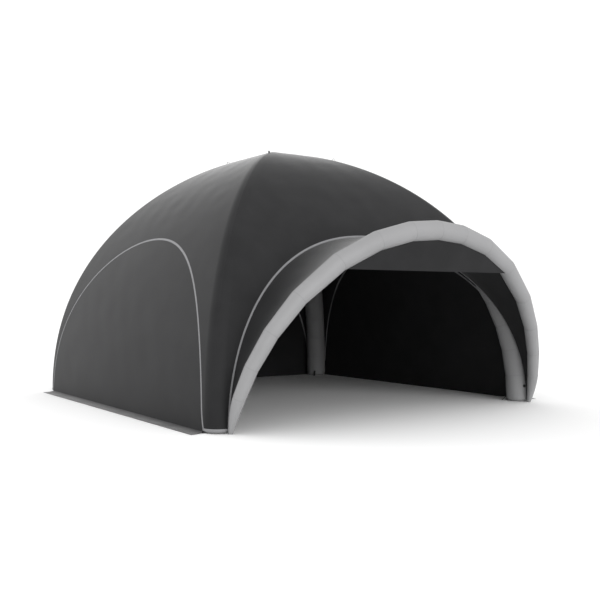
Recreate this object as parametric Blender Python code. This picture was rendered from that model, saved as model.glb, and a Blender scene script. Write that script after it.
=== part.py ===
"""An inflatable dome tent, open at the front, with an arched porch.

Four inflated tubes rise from the corners of a square and meet at a crown. A roof panel is stretched
between each pair of tubes and wraps halfway round both. Each panel has an arch cut in it: three arches
are closed by walls, and the front one opens under a canopy that an inflated arch holds out.

The model is in metres, +Z up, with the porch towards -Y. The origin is on the ground, at the middle of
the whole tent's outline, so the dome's own centre lies behind it.
"""

import math

import bmesh
import bpy
from mathutils import Matrix, Vector

# Dome: the outer wall faces are six metres apart at the ground
TENT_WIDTH = 6.0
TUBE_RADIUS = 0.1955
LEG_SPACING = TENT_WIDTH - 2 * TUBE_RADIUS
CROWN_HEIGHT = 3.9268
LEG_CURVE_HEIGHT_POWER = 2.2067
LEG_CURVE_REACH_POWER = 1.7625
LEG_SEGMENTS = 14
CROWN_JOINT_REACH = 0.25
TUBE_SIDES = 24
FOOT_ROUNDING = 0.06
FOOT_ROUNDING_STEPS = 3

# Cloth
CLOTH_THICKNESS = 0.004
GAP = 0.0003
RIDGE_SEAM_HALF = 0.00015
WRAP_STEPS = 3
CROWN_WRAP_SHARE = 0.75
CROWN_ROW_REACHES = (0.12, 0.03, 0.003)
COVER_HEM_HEIGHT = 0.03

# Arch line in each side, seen square on, which spreads at the feet of the three walls
ARCH_HALF_WIDTH = 2.7496
ARCH_HEIGHT = 2.5606
ARCH_WIDTH_POWER = 2.0562
ARCH_HEIGHT_POWER = 2.1251
WALL_FOOT_FLARE = 0.055
ARCH_FLARE_HEIGHT = 0.32
ARCH_STEPS = 44
ARCH_FIRST_STEP = 0.4

# Cutting tools reach this far below the ground and this near to the dome's middle
CUT_BELOW = 0.2
CUT_NEAR = 0.5

# Zip bands round the arches and hem bands round the leg covers, from zip to zip
ZIP_EDGE = 0.003
ZIP_WIDTH = 0.023
BAND_THICKNESS = 0.003
HEM_WIDTH = 0.03

# Porch arch, an inflated tube that leans forward, is thicker at its top and narrows to its feet
PORCH_HALF_WIDTH = 2.7566
PORCH_HEIGHT = 2.5721
PORCH_WIDTH_POWER = 2.0255
PORCH_HEIGHT_POWER = 1.7676
PORCH_BULGE = 0.0287
PORCH_FOOT_REACH = 3.0438
PORCH_TOP_LEAN = 0.7379
PORCH_LEAN_SAG = 0.0371
PORCH_LOW_RADIUS = 0.0723
PORCH_TOP_RADIUS = 0.1349
PORCH_FOOT_TAPER = 0.57
PORCH_FOOT_TAPER_POWER = 1.5
PORCH_FOOT_RINGS = (0.12, 0.28)
PORCH_SEAMS = (0.45, 0.855, 1.34, 1.905, 2.6, 3.23, 3.78)

# Canopy between the front arch line and the porch arch
CANOPY_SEAT_DEGREES = 45.0
CANOPY_SEAT_DEPTH = 0.6
CANOPY_FOOT_TUCK = 0.004

# Valance, a flat panel under the top of the porch arch
VALANCE_BOTTOM = 2.026
VALANCE_FORWARD = 0.066

# Skirts on the ground at the walls
SKIRT_RISE = 0.018
SKIRT_REACH = 0.187
SKIRT_FRONT_END = 2.84
SKIRT_BACK_END = 2.77

# Small fittings on each leg
VALVE_HEIGHT = 0.25
VALVE_RADIUS = 0.022
VALVE_DEPTH = 0.01
VALVE_SHOULDER_DEPTH = 0.006
VALVE_CAP_RADIUS = 0.0176
VALVE_SIDES = 16
VALVE_DEGREES = 67.5
TAB_HEIGHT = 0.1
TAB_REACH = 0.075
TAB_WIDTH = 0.04
TAB_THICKNESS = 0.004
LOOP_REACH = 0.92
LOOP_RADIUS = 0.02
LOOP_THICKNESS = 0.005
LOOP_WIDTH = 0.02
LOOP_STAND = 0.016
LOOP_STEPS = 8

# How finely lengths along curves are measured, and the bend that is shaded as an edge
LENGTH_SAMPLES = 4000
SHARP_BEND = math.radians(32)

HALF_SPACING = LEG_SPACING / 2
CORNER_REACH = HALF_SPACING * math.sqrt(2)
WRAP_ANGLE = 2 * math.pi / TUBE_SIDES
CLOTH_INNER = GAP
CLOTH_OUTER = GAP + CLOTH_THICKNESS
BAND_INNER = CLOTH_OUTER + GAP
BAND_OUTER = BAND_INNER + BAND_THICKNESS
PORCH_LEAN = math.atan2(PORCH_TOP_LEAN, PORCH_HEIGHT)

SIDES = ("front", "left", "back", "right")
CORNERS = ("front_left", "back_left", "back_right", "front_right")

# Base colour and roughness of each material
MATERIALS = {
    "dark grey polyester cloth": ((0.045, 0.045, 0.047), 0.8),
    "dark grey wall cloth": ((0.042, 0.042, 0.044), 0.8),
    "grey coated tube cloth": ((0.36, 0.36, 0.37), 0.5),
    "light grey zip tape": ((0.42, 0.42, 0.43), 0.7),
    "black valve plastic": ((0.02, 0.02, 0.02), 0.45),
    "black webbing": ((0.025, 0.025, 0.025), 0.85),
}


# Scene, materials and meshes

def clear_scene():
    """Remove every object of the scene that is open."""
    for item in list(bpy.data.objects):
        bpy.data.objects.remove(item, do_unlink=True)


def make_material(name):
    """Return one of the tent's materials, a Principled shader with no metal in it."""
    colour, roughness = MATERIALS[name]
    material = bpy.data.materials.new(name)
    material.use_nodes = True
    shader = material.node_tree.nodes["Principled BSDF"]
    shader.inputs["Base Color"].default_value = (*colour, 1.0)
    shader.inputs["Roughness"].default_value = roughness
    shader.inputs["Metallic"].default_value = 0.0
    return material


def make_mesh(name, points, faces):
    """Return a closed mesh whose faces point outwards."""
    mesh = bpy.data.meshes.new(name)
    mesh.from_pydata([tuple(p) for p in points], [], faces)
    shell = bmesh.new()
    shell.from_mesh(mesh)
    bmesh.ops.recalc_face_normals(shell, faces=shell.faces)
    shell.to_mesh(mesh)
    shell.free()
    mesh.update()
    return mesh


def cut(name, body, tool, operation="DIFFERENCE"):
    """Return the mesh that a Boolean of two meshes leaves."""
    body_object = bpy.data.objects.new(name, body)
    tool_object = bpy.data.objects.new(name + "_tool", tool)
    for item in (body_object, tool_object):
        bpy.context.scene.collection.objects.link(item)
    modifier = body_object.modifiers.new("cut", "BOOLEAN")
    modifier.operation = operation
    modifier.solver = "EXACT"
    modifier.object = tool_object
    graph = bpy.context.evaluated_depsgraph_get()
    result = bpy.data.meshes.new_from_object(body_object.evaluated_get(graph), depsgraph=graph)
    for item in (body_object, tool_object):
        bpy.data.objects.remove(item, do_unlink=True)
    result.name = name
    return result


def mirrored(mesh, direction):
    """Return a mesh mirrored along a direction, with its faces still pointing outwards."""
    copy = mesh.copy()
    copy.transform(Matrix.Scale(-1.0, 4, direction))
    copy.flip_normals()
    return copy


def add_node(name, mesh, material, turn=0.0):
    """Add a mesh to the scene as a named node, turned about the dome's axis."""
    mesh = mesh.copy()
    mesh.name = name
    mesh.transform(Matrix.Rotation(turn, 4, "Z"))
    mesh.transform(Matrix.Translation((0.0, dome_centre_y(), 0.0)))
    mesh.materials.clear()
    mesh.materials.append(material)
    mesh.shade_smooth()
    mesh.set_sharp_from_angle(angle=SHARP_BEND)
    node = bpy.data.objects.new(name, mesh)
    bpy.context.scene.collection.objects.link(node)
    return node


def dome_centre_y():
    """Return how far the dome's centre lies behind the middle of the tent's outline."""
    rings = [s.point(s.radius, k * WRAP_ANGLE) for s in PORCH_STATIONS for k in range(TUBE_SIDES)]
    front = max(-p.y for p in rings)
    back = TENT_WIDTH / 2 + BAND_INNER + SKIRT_REACH
    return (front - back) / 2


def loft(rings):
    """Return points and faces of a solid through rings of equal size, with flat ends."""
    count = len(rings[0])
    points = [p for ring in rings for p in ring]
    faces = []
    for row in range(len(rings) - 1):
        for k in range(count):
            a = row * count + k
            b = row * count + (k + 1) % count
            faces.append((a, b, b + count))
            faces.append((a, b + count, a + count))
    faces.append(tuple(reversed(range(count))))
    faces.append(tuple(len(points) - count + k for k in range(count)))
    return points, faces


def sheet_solid(name, inner, outer):
    """Return a closed sheet between two grids of points with the same rows and columns."""
    rows, columns = len(inner), len(inner[0])
    size = rows * columns
    points = [p for grid in (inner, outer) for row in grid for p in row]
    faces = []
    for i in range(rows - 1):
        for k in range(columns - 1):
            a = i * columns + k
            low, high = (a, a + 1), (a + columns, a + columns + 1)
            if k >= columns // 2:
                pair = ((low[0], low[1], high[0]), (low[1], high[1], high[0]))
            else:
                pair = ((low[0], low[1], high[1]), (low[0], high[1], high[0]))
            for face in pair:
                faces.append(face)
                faces.append(tuple(size + v for v in reversed(face)))
    border = [k for k in range(columns)]
    border += [i * columns + columns - 1 for i in range(1, rows)]
    border += [(rows - 1) * columns + k for k in range(columns - 2, -1, -1)]
    border += [i * columns for i in range(rows - 2, 0, -1)]
    for a, b in zip(border, border[1:] + border[:1]):
        faces.append((b, a, size + a))
        faces.append((b, size + a, size + b))
    return make_mesh(name, points, faces)


def extrude_outline(name, outline, low, high, place):
    """Return a solid whose ends are an outline at two depths; place turns (u, v, depth) into a point."""
    rings = [[place(u, v, depth) for u, v in outline] for depth in (low, high)]
    count = len(outline)
    points = rings[0] + rings[1]
    faces = [tuple(reversed(range(count))), tuple(range(count, 2 * count))]
    for k in range(count):
        n = (k + 1) % count
        faces.append((k, n, n + count, k + count))
    return make_mesh(name, points, faces)


def turns_at_lengths(point_at, end, goals):
    """Return the turns at which a curve, walked from turn 0 to end, has run these lengths."""
    turns = [end * k / LENGTH_SAMPLES for k in range(LENGTH_SAMPLES + 1)]
    points = [point_at(t) for t in turns]
    lengths = [0.0]
    for a, b in zip(points, points[1:]):
        lengths.append(lengths[-1] + (b - a).length)
    result, k = [], 0
    for goal in goals:
        while lengths[k + 1] < goal:
            k += 1
        share = (goal - lengths[k]) / (lengths[k + 1] - lengths[k])
        result.append(turns[k] + share * (turns[k + 1] - turns[k]))
    return result


def curve_length(point_at, end):
    """Return a curve's length from turn 0 to end."""
    points = [point_at(end * k / LENGTH_SAMPLES) for k in range(LENGTH_SAMPLES + 1)]
    return sum((b - a).length for a, b in zip(points, points[1:]))


# The legs' curve

def leg_point(turn):
    """Return reach and height on a leg's centreline, with turn from 0 at the ground to 1 at the crown."""
    height = CROWN_HEIGHT * math.sin(turn * math.pi / 2)
    share = max(1.0 - (height / CROWN_HEIGHT) ** LEG_CURVE_HEIGHT_POWER, 0.0)
    return Vector((CORNER_REACH * share ** (1 / LEG_CURVE_REACH_POWER), height))


def leg_turn_at_reach(reach):
    """Return the turn at which the centreline is this far from the dome's axis."""
    share = 1.0 - (reach / CORNER_REACH) ** LEG_CURVE_REACH_POWER
    return math.asin(share ** (1 / LEG_CURVE_HEIGHT_POWER)) * 2 / math.pi


class Station:
    """A point of a leg's centreline, with the outward normal there in the leg's own plane."""

    def __init__(self, turn):
        step = 1e-4
        before = leg_point(max(turn - step, 0.0))
        after = leg_point(min(turn + step, 1.0))
        along = (after - before).normalized()
        if turn == 0.0:
            along = Vector((0.0, 1.0))
        self.reach, self.height = leg_point(turn)
        self.normal = Vector((along.y, -along.x))
        self.tangent_angle = math.atan(self.normal.x)


def leg_seam_turns():
    """Return turns from the ground to the crown joint that split a leg into equal lengths."""
    end = leg_turn_at_reach(CROWN_JOINT_REACH)
    whole = curve_length(leg_point, end)
    goals = [whole * part / LEG_SEGMENTS for part in range(1, LEG_SEGMENTS)]
    return [0.0, *turns_at_lengths(leg_point, end, goals), end]


LEG_STATIONS = [Station(t) for t in leg_seam_turns()]
CLOTH_STATIONS = LEG_STATIONS + [Station(leg_turn_at_reach(r)) for r in CROWN_ROW_REACHES]
CORNER_DIRECTION = Vector((-1.0, -1.0, 0.0)).normalized()
CORNER_SIDEWAYS = Vector((1.0, -1.0, 0.0)).normalized()
UP = Vector((0.0, 0.0, 1.0))


def tube_point(station, radius, angle):
    """Return a point on the front left leg, at an angle from its ridge towards the front."""
    centre = CORNER_DIRECTION * station.reach + UP * station.height
    normal = CORNER_DIRECTION * station.normal.x + UP * station.normal.y
    return centre + (normal * math.cos(angle) + CORNER_SIDEWAYS * math.sin(angle)) * radius


def tube_ring(station, radius):
    """Return the ring of points round a leg at a station."""
    return [tube_point(station, radius, k * WRAP_ANGLE) for k in range(TUBE_SIDES)]


def foot_point(height, radius, angle):
    """Return a point on the leg's first straight length, at a height of its centreline."""
    low = tube_point(LEG_STATIONS[0], radius, angle)
    high = tube_point(LEG_STATIONS[1], radius, angle)
    return low.lerp(high, height / LEG_STATIONS[1].height)


def make_leg():
    """Return the front left leg, from its rounded foot to the crown joint."""
    rings = []
    for step in range(FOOT_ROUNDING_STEPS + 1):
        bend = math.pi / 2 * step / FOOT_ROUNDING_STEPS
        height = FOOT_ROUNDING * (1.0 - math.cos(bend))
        radius = TUBE_RADIUS - FOOT_ROUNDING * (1.0 - math.sin(bend))
        rings.append([foot_point(height, radius, k * WRAP_ANGLE) for k in range(TUBE_SIDES)])
    rings += [tube_ring(station, TUBE_RADIUS) for station in LEG_STATIONS[1:]]
    return make_mesh("leg", *loft(rings))


def make_crown_joint():
    """Return the joint of the four tubes: two short tubes that cross at the top."""
    end = LEG_STATIONS[-1]
    along = UP * -end.normal.x + CORNER_DIRECTION * end.normal.y
    half_turn = Matrix.Rotation(math.pi, 3, "Z")
    near = [p - along * GAP for p in tube_ring(end, TUBE_RADIUS)]
    far = [half_turn @ p for p in near]
    far = [far[-k % TUBE_SIDES] for k in range(TUBE_SIDES)]
    top = Station(1.0)
    top.normal = Vector((0.0, 1.0))
    points, faces = loft([near, tube_ring(top, TUBE_RADIUS), far])
    first = make_mesh("crown_joint", points, faces)
    second = first.copy()
    second.transform(Matrix.Rotation(math.pi / 2, 4, "Z") @ Matrix.Translation((0, 0, -GAP)))
    return cut("crown_joint", first, second, "UNION")


# The cloth of one side

def side_row(station, offset):
    """Return a row of the front side's cloth, from the left ridge to the right one."""
    straight = station.reach / math.sqrt(2)
    tangent = station.tangent_angle
    half = TUBE_RADIUS * tangent + straight
    wrap = WRAP_STEPS * WRAP_ANGLE * TUBE_RADIUS
    shrink = min(1.0, CROWN_WRAP_SHARE * half / wrap)
    row = []
    for k in range(WRAP_STEPS + 1):
        angle = k * WRAP_ANGLE * shrink
        point = tube_point(station, TUBE_RADIUS + offset, min(angle, tangent))
        point.x += max(angle - tangent, 0.0) * TUBE_RADIUS
        if k == 0:
            point += CORNER_SIDEWAYS * RIDGE_SEAM_HALF
        row.append(point)
    return row + [Vector((-p.x, p.y, p.z)) for p in reversed(row)]


def make_side(name, inner, outer):
    """Return the whole cloth of the front side, between two offsets from the tubes."""
    grids = [[side_row(station, offset) for station in CLOTH_STATIONS] for offset in (inner, outer)]
    return sheet_solid(name, *grids)


def arch_point(turn, offset, foot_flare):
    """Return x and z on the arch line, offset outwards, with turn from 0 at the right foot to 1."""
    def raw(t):
        angle = t * math.pi
        side = math.copysign(1.0, math.cos(angle))
        x = ARCH_HALF_WIDTH * side * abs(math.cos(angle)) ** (2 / ARCH_WIDTH_POWER)
        z = ARCH_HEIGHT * abs(math.sin(angle)) ** (2 / ARCH_HEIGHT_POWER)
        flare = max(0.0, 1.0 - z / ARCH_FLARE_HEIGHT) ** 2
        return Vector((x + side * foot_flare * flare, z))

    step = 1e-4
    low, high = max(turn - step, 0.0), min(turn + step, 1.0)
    along = (raw(high) - raw(low)).normalized()
    return raw(turn) + Vector((along.y, -along.x)) * offset


def arch_outline(offset, bottom, foot_flare):
    """Return the arch line as points that end at the bottom, below the ground or above it."""
    steps = [0.0, ARCH_FIRST_STEP, *range(1, ARCH_STEPS), ARCH_STEPS - ARCH_FIRST_STEP, ARCH_STEPS]
    arc = [arch_point(step / ARCH_STEPS, offset, foot_flare) for step in steps]
    if bottom < 0.0:
        return [Vector((arc[0].x, bottom)), *arc, Vector((arc[-1].x, bottom))]
    share = (bottom - arc[0].y) / (arc[1].y - arc[0].y)
    arc[0], arc[-1] = arc[0].lerp(arc[1], share), arc[-1].lerp(arc[-2], share)
    return arc


def front_prism(name, outline):
    """Return a solid that runs through the front side, with this outline seen from the front."""
    return extrude_outline(name, outline, -TENT_WIDTH, -CUT_NEAR, lambda u, v, d: Vector((u, d, v)))


def make_roof_panel(foot_flare):
    """Return the front roof panel with the half covers of its two legs."""
    side = make_side("side", CLOTH_INNER, CLOTH_OUTER)
    opening = front_prism("opening", arch_outline(0.0, -CUT_BELOW, foot_flare))
    panel = cut("panel", side, opening)
    width = TENT_WIDTH
    ground = extrude_outline(
        "ground",
        [Vector((-width, -CUT_BELOW)), Vector((width, -CUT_BELOW)), Vector((width, COVER_HEM_HEIGHT)),
         Vector((-width, COVER_HEM_HEIGHT))],
        -width, width, lambda u, v, d: Vector((u, d, v)))
    return cut("roof_panel", panel, ground)


def make_wall():
    """Return the wall that closes the arch, a seam's gap smaller than it."""
    side = make_side("side", CLOTH_INNER, CLOTH_OUTER)
    return cut("wall", side, front_prism("inside", arch_outline(-GAP, -CUT_BELOW, WALL_FOOT_FLARE)),
               "INTERSECT")


def make_zip(foot_flare):
    """Return the band along the arch, on the roof's side of it."""
    layer = make_side("layer", BAND_INNER, BAND_OUTER)
    outer = arch_outline(ZIP_EDGE + ZIP_WIDTH, COVER_HEM_HEIGHT, foot_flare)
    inner = arch_outline(ZIP_EDGE, COVER_HEM_HEIGHT, foot_flare)
    ring = front_prism("ring", outer + list(reversed(inner)))
    return cut("zip", layer, ring, "INTERSECT")


def half_hem_row(height, offset, foot_flare):
    """Return a row of the front left leg's hem, from the ridge to the zip of the front's arch."""
    foot, above = arch_outline(ZIP_EDGE + ZIP_WIDTH, COVER_HEM_HEIGHT, foot_flare)[:2]
    end = -foot.lerp(above, (height - foot.y) / (above.y - foot.y)).x - 2 * GAP
    cover = [foot_point(height, TUBE_RADIUS + offset, k * WRAP_ANGLE) for k in range(WRAP_STEPS + 1)]
    row = [p for p in cover if p.x < end]
    if len(row) == len(cover):
        return row + [Vector((end, cover[-1].y, cover[-1].z))]
    low, high = cover[len(row) - 1], cover[len(row)]
    return row + [low.lerp(high, (end - low.x) / (high.x - low.x))]


def make_hem(front_flare):
    """Return the band round the foot of the front left leg's cover, from zip to zip."""
    inner, outer = [], []
    for height in (COVER_HEM_HEIGHT, COVER_HEM_HEIGHT + HEM_WIDTH):
        for grid, offset in ((inner, BAND_INNER), (outer, BAND_OUTER)):
            left = [Vector((p.y, p.x, p.z)) for p in half_hem_row(height, offset, WALL_FOOT_FLARE)]
            grid.append(left[:0:-1] + half_hem_row(height, offset, front_flare))
    return sheet_solid("hem", inner, outer)


# The porch

def porch_rise(turn):
    """Return the share of its full height that the porch arch has at a turn from foot to foot."""
    return abs(math.sin(turn * math.pi)) ** (2 / PORCH_HEIGHT_POWER)


def porch_centre(turn):
    """Return the point of the porch arch's centreline, with turn from 0 at the right foot to 1."""
    angle, rise = turn * math.pi, porch_rise(turn)
    side = math.copysign(1.0, math.cos(angle))
    width = side * abs(math.cos(angle)) ** (2 / PORCH_WIDTH_POWER)
    lean = PORCH_FOOT_REACH + PORCH_TOP_LEAN * rise - PORCH_LEAN_SAG * rise * (1.0 - rise)
    x = PORCH_HALF_WIDTH * width * (1.0 + PORCH_BULGE * rise)
    return Vector((x, -lean, PORCH_HEIGHT * rise))


def porch_radius(turn, length):
    """Return the porch tube's radius at a turn, this length from the nearer foot."""
    full = PORCH_LOW_RADIUS + (PORCH_TOP_RADIUS - PORCH_LOW_RADIUS) * porch_rise(turn)
    left = max(1.0 - length / PORCH_SEAMS[0], 0.0)
    return full * (1.0 - PORCH_FOOT_TAPER * left ** PORCH_FOOT_TAPER_POWER)


class PorchStation:
    """A ring of the porch tube, with the directions across it."""

    def __init__(self, turn, length):
        step = 1e-3
        self.centre = porch_centre(turn)
        self.radius = porch_radius(turn, length)
        before = porch_centre(max(turn - step, 0.0))
        after = porch_centre(min(turn + step, 1.0))
        self.along = (after - before).normalized()
        self.rear = Vector((0.0, math.cos(PORCH_LEAN), math.sin(PORCH_LEAN)))
        self.rear = (self.rear - self.along * self.rear.dot(self.along)).normalized()
        self.outer = self.rear.cross(self.along).normalized()
        if self.outer.dot(self.centre - Vector((0.0, self.centre.y, 0.0))) < 0.0:
            self.outer.negate()

    def point(self, radius, angle):
        """Return a point on the tube, at an angle from its outer side towards the rear."""
        return self.centre + (self.outer * math.cos(angle) + self.rear * math.sin(angle)) * radius


def porch_stations():
    """Return the porch tube's rings, at its feet, its seams and its very middle."""
    lengths = [*PORCH_FOOT_RINGS, *PORCH_SEAMS]
    half = [(0.0, 0.0), *zip(turns_at_lengths(porch_centre, 0.5, lengths), lengths)]
    middle = (0.5, curve_length(porch_centre, 0.5))
    other = [(1.0 - turn, length) for turn, length in reversed(half)]
    return [PorchStation(turn, length) for turn, length in (*half, middle, *other)]


PORCH_STATIONS = porch_stations()


def make_porch_tube(name, growth=0.0):
    """Return the porch arch, or one that is fatter by growth, with feet flat on the ground."""
    rings = []
    for number, station in enumerate(PORCH_STATIONS):
        ring = [station.point(station.radius + growth, k * WRAP_ANGLE) for k in range(TUBE_SIDES)]
        if number in (0, len(PORCH_STATIONS) - 1):
            ring = [p - station.along * (p.z / station.along.z) for p in ring]
        rings.append(ring)
    return make_mesh(name, *loft(rings))


def side_depth(height):
    """Return y of the front side's outer cloth at a height."""
    offset = TUBE_RADIUS + CLOTH_OUTER
    rows = []
    for station in CLOTH_STATIONS:
        point = tube_point(station, offset, station.tangent_angle)
        rows.append((point.z, point.y))
    for (z0, y0), (z1, y1) in zip(rows, rows[1:]):
        if z0 <= height <= z1:
            return y0 + (y1 - y0) * (height - z0) / (z1 - z0)
    return rows[-1][1]


def porch_seat(x, z):
    """Return the point inside the porch tube that holds the canopy, in the direction of x and z."""
    angle = math.radians(CANOPY_SEAT_DEGREES)
    for first, second in zip(PORCH_STATIONS, PORCH_STATIONS[1:]):
        one, two = (s.point(s.radius, angle) for s in (first, second))
        side_one, side_two = one.z * x - one.x * z, two.z * x - two.x * z
        if side_one <= 0.0 < side_two:
            share = side_one / (side_one - side_two)
            deep = [s.point(s.radius * CANOPY_SEAT_DEPTH, angle) for s in (first, second)]
            return deep[0].lerp(deep[1], share)
    raise ValueError("the direction misses the porch arch")


def canopy_rows():
    """Return the canopy's rear and front edge points, from the right foot to the left one."""
    rows = []
    for flat in arch_outline(-(2 * GAP + CLOTH_THICKNESS / 2), COVER_HEM_HEIGHT, -CANOPY_FOOT_TUCK):
        rear = Vector((flat.x, side_depth(flat.y), flat.y))
        rows.append((rear, porch_seat(flat.x, flat.y)))
    return rows


def make_canopy():
    """Return the canopy between the front arch line and the porch arch."""
    rows = canopy_rows()
    inner, outer = [], []
    for number, row in enumerate(rows):
        before = rows[max(number - 1, 0)]
        after = rows[min(number + 1, len(rows) - 1)]
        lower, upper = [], []
        for k, point in enumerate(row):
            along = after[k] - before[k]
            across = row[1] - row[0]
            normal = across.cross(along).normalized()
            if normal.dot(Vector((point.x, 0.0, point.z))) < 0.0:
                normal.negate()
            lower.append(point - normal * CLOTH_THICKNESS / 2)
            upper.append(point + normal * CLOTH_THICKNESS / 2)
        inner.append(lower)
        outer.append(upper)
    sheet = sheet_solid("canopy", inner, outer)
    return cut("porch_canopy", sheet, make_porch_tube("fat_arch", GAP))


def make_valance():
    """Return the flat panel under the top of the porch arch, cut to the tube's inner side."""
    up = Vector((0.0, -math.sin(PORCH_LEAN), math.cos(PORCH_LEAN)))
    front = Vector((0.0, -math.cos(PORCH_LEAN), -math.sin(PORCH_LEAN)))
    foot = Vector((0.0, -PORCH_FOOT_REACH, 0.0))
    bottom = (VALANCE_BOTTOM - front.z * VALANCE_FORWARD) / up.z
    top = [((s.centre - foot).x, (s.centre - foot).dot(up)) for s in PORCH_STATIONS]
    clear = [(x, v) for x, v in top if v > bottom]
    ends = []
    for one, two in zip(top, top[1:]):
        if (one[1] - bottom) * (two[1] - bottom) < 0.0:
            share = (bottom - one[1]) / (two[1] - one[1])
            ends.append(one[0] + (two[0] - one[0]) * share)
    outline = [(ends[0], bottom), *clear, (ends[1], bottom)]
    plate = extrude_outline(
        "valance", outline, VALANCE_FORWARD, VALANCE_FORWARD + CLOTH_THICKNESS,
        lambda u, v, d: foot + Vector((u, 0.0, 0.0)) + up * v + front * d)
    return cut("valance", plate, make_porch_tube("fat_arch", GAP))


# Skirts and fittings

def make_skirt(left, right):
    """Return a strip of cloth from the front side's foot down to the ground, between two x."""
    face = -(TENT_WIDTH / 2 + BAND_INNER)
    section = [
        (face, SKIRT_RISE), (face, SKIRT_RISE - CLOTH_THICKNESS),
        (face - SKIRT_REACH, 0.0), (face - SKIRT_REACH, CLOTH_THICKNESS / 2)]
    return extrude_outline("skirt", section, left, right, lambda u, v, d: Vector((d, u, v)))


def make_valve():
    """Return the round valve on the front left leg, seated on one flat of the tube."""
    half = WRAP_ANGLE / 2
    sides = [math.radians(VALVE_DEGREES) + side * half for side in (-1, 1)]
    edges = [foot_point(VALVE_HEIGHT, TUBE_RADIUS, angle) for angle in sides]
    above = [foot_point(VALVE_HEIGHT + VALVE_RADIUS, TUBE_RADIUS, angle) for angle in sides]
    seat = (edges[0] + edges[1]) / 2
    rise = ((above[0] + above[1]) / 2 - seat).normalized()
    across = (edges[1] - edges[0]).normalized()
    out = rise.cross(across).normalized()
    if out.dot(seat - CORNER_DIRECTION * LEG_STATIONS[0].reach) < 0.0:
        out.negate()
    rings = []
    for depth, radius in ((GAP, VALVE_RADIUS), (VALVE_SHOULDER_DEPTH, VALVE_RADIUS),
                          (VALVE_DEPTH, VALVE_CAP_RADIUS)):
        centre = seat + out * depth
        steps = [k * 2 * math.pi / VALVE_SIDES for k in range(VALVE_SIDES)]
        rings.append([centre + (across * math.cos(a) + rise * math.sin(a)) * radius for a in steps])
    return make_mesh("valve", *loft(rings))


def make_tab():
    """Return the webbing tab that slopes from the front left leg's foot to the ground."""
    start = TUBE_RADIUS + GAP
    lean = TAB_HEIGHT / LEG_STATIONS[1].height * (LEG_STATIONS[0].reach - LEG_STATIONS[1].reach)
    section = [
        (start + lean, TAB_HEIGHT), (start + lean, TAB_HEIGHT - TAB_THICKNESS * 2),
        (start + TAB_REACH, 0.0), (start + TAB_REACH, TAB_THICKNESS)]
    centre = CORNER_DIRECTION * LEG_STATIONS[0].reach
    return extrude_outline(
        "tab", section, -TAB_WIDTH / 2, TAB_WIDTH / 2,
        lambda u, v, d: centre - CORNER_DIRECTION * u + CORNER_SIDEWAYS * d + UP * v)


def ridge_seat():
    """Return the point of the front left ridge where the loop stands, and the ridge's direction there."""
    station = Station(leg_turn_at_reach(LOOP_REACH))
    ridge = [tube_point(s, TUBE_RADIUS + CLOTH_OUTER, 0.0) for s in CLOTH_STATIONS]
    aim = tube_point(station, 0.0, 0.0).dot(CORNER_DIRECTION)
    for low, high in zip(ridge, ridge[1:]):
        reach_low, reach_high = low.dot(CORNER_DIRECTION), high.dot(CORNER_DIRECTION)
        if reach_high <= aim <= reach_low:
            share = (reach_low - aim) / (reach_low - reach_high)
            return low.lerp(high, share), (high - low).normalized()
    raise ValueError("the loop misses the ridge")


def make_loop():
    """Return the webbing loop that stands on the front left ridge."""
    seat, along = ridge_seat()
    out = CORNER_SIDEWAYS.cross(along).normalized()
    if out.z < 0.0:
        out.negate()
    outline = []
    for radius, steps in ((LOOP_RADIUS, range(LOOP_STEPS + 1)),
                          (LOOP_RADIUS - LOOP_THICKNESS, range(LOOP_STEPS, -1, -1))):
        foot_side = 1.0 if steps[0] == 0 else -1.0
        outline.append((radius * foot_side, GAP))
        for k in steps:
            bend = math.pi * k / LOOP_STEPS
            outline.append((radius * math.cos(bend), LOOP_STAND + radius * math.sin(bend)))
        outline.append((-radius * foot_side, GAP))
    return extrude_outline(
        "loop", outline, -LOOP_WIDTH / 2, LOOP_WIDTH / 2,
        lambda u, v, d: seat + along * u + out * v + CORNER_SIDEWAYS * d)


# The whole tent

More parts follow.
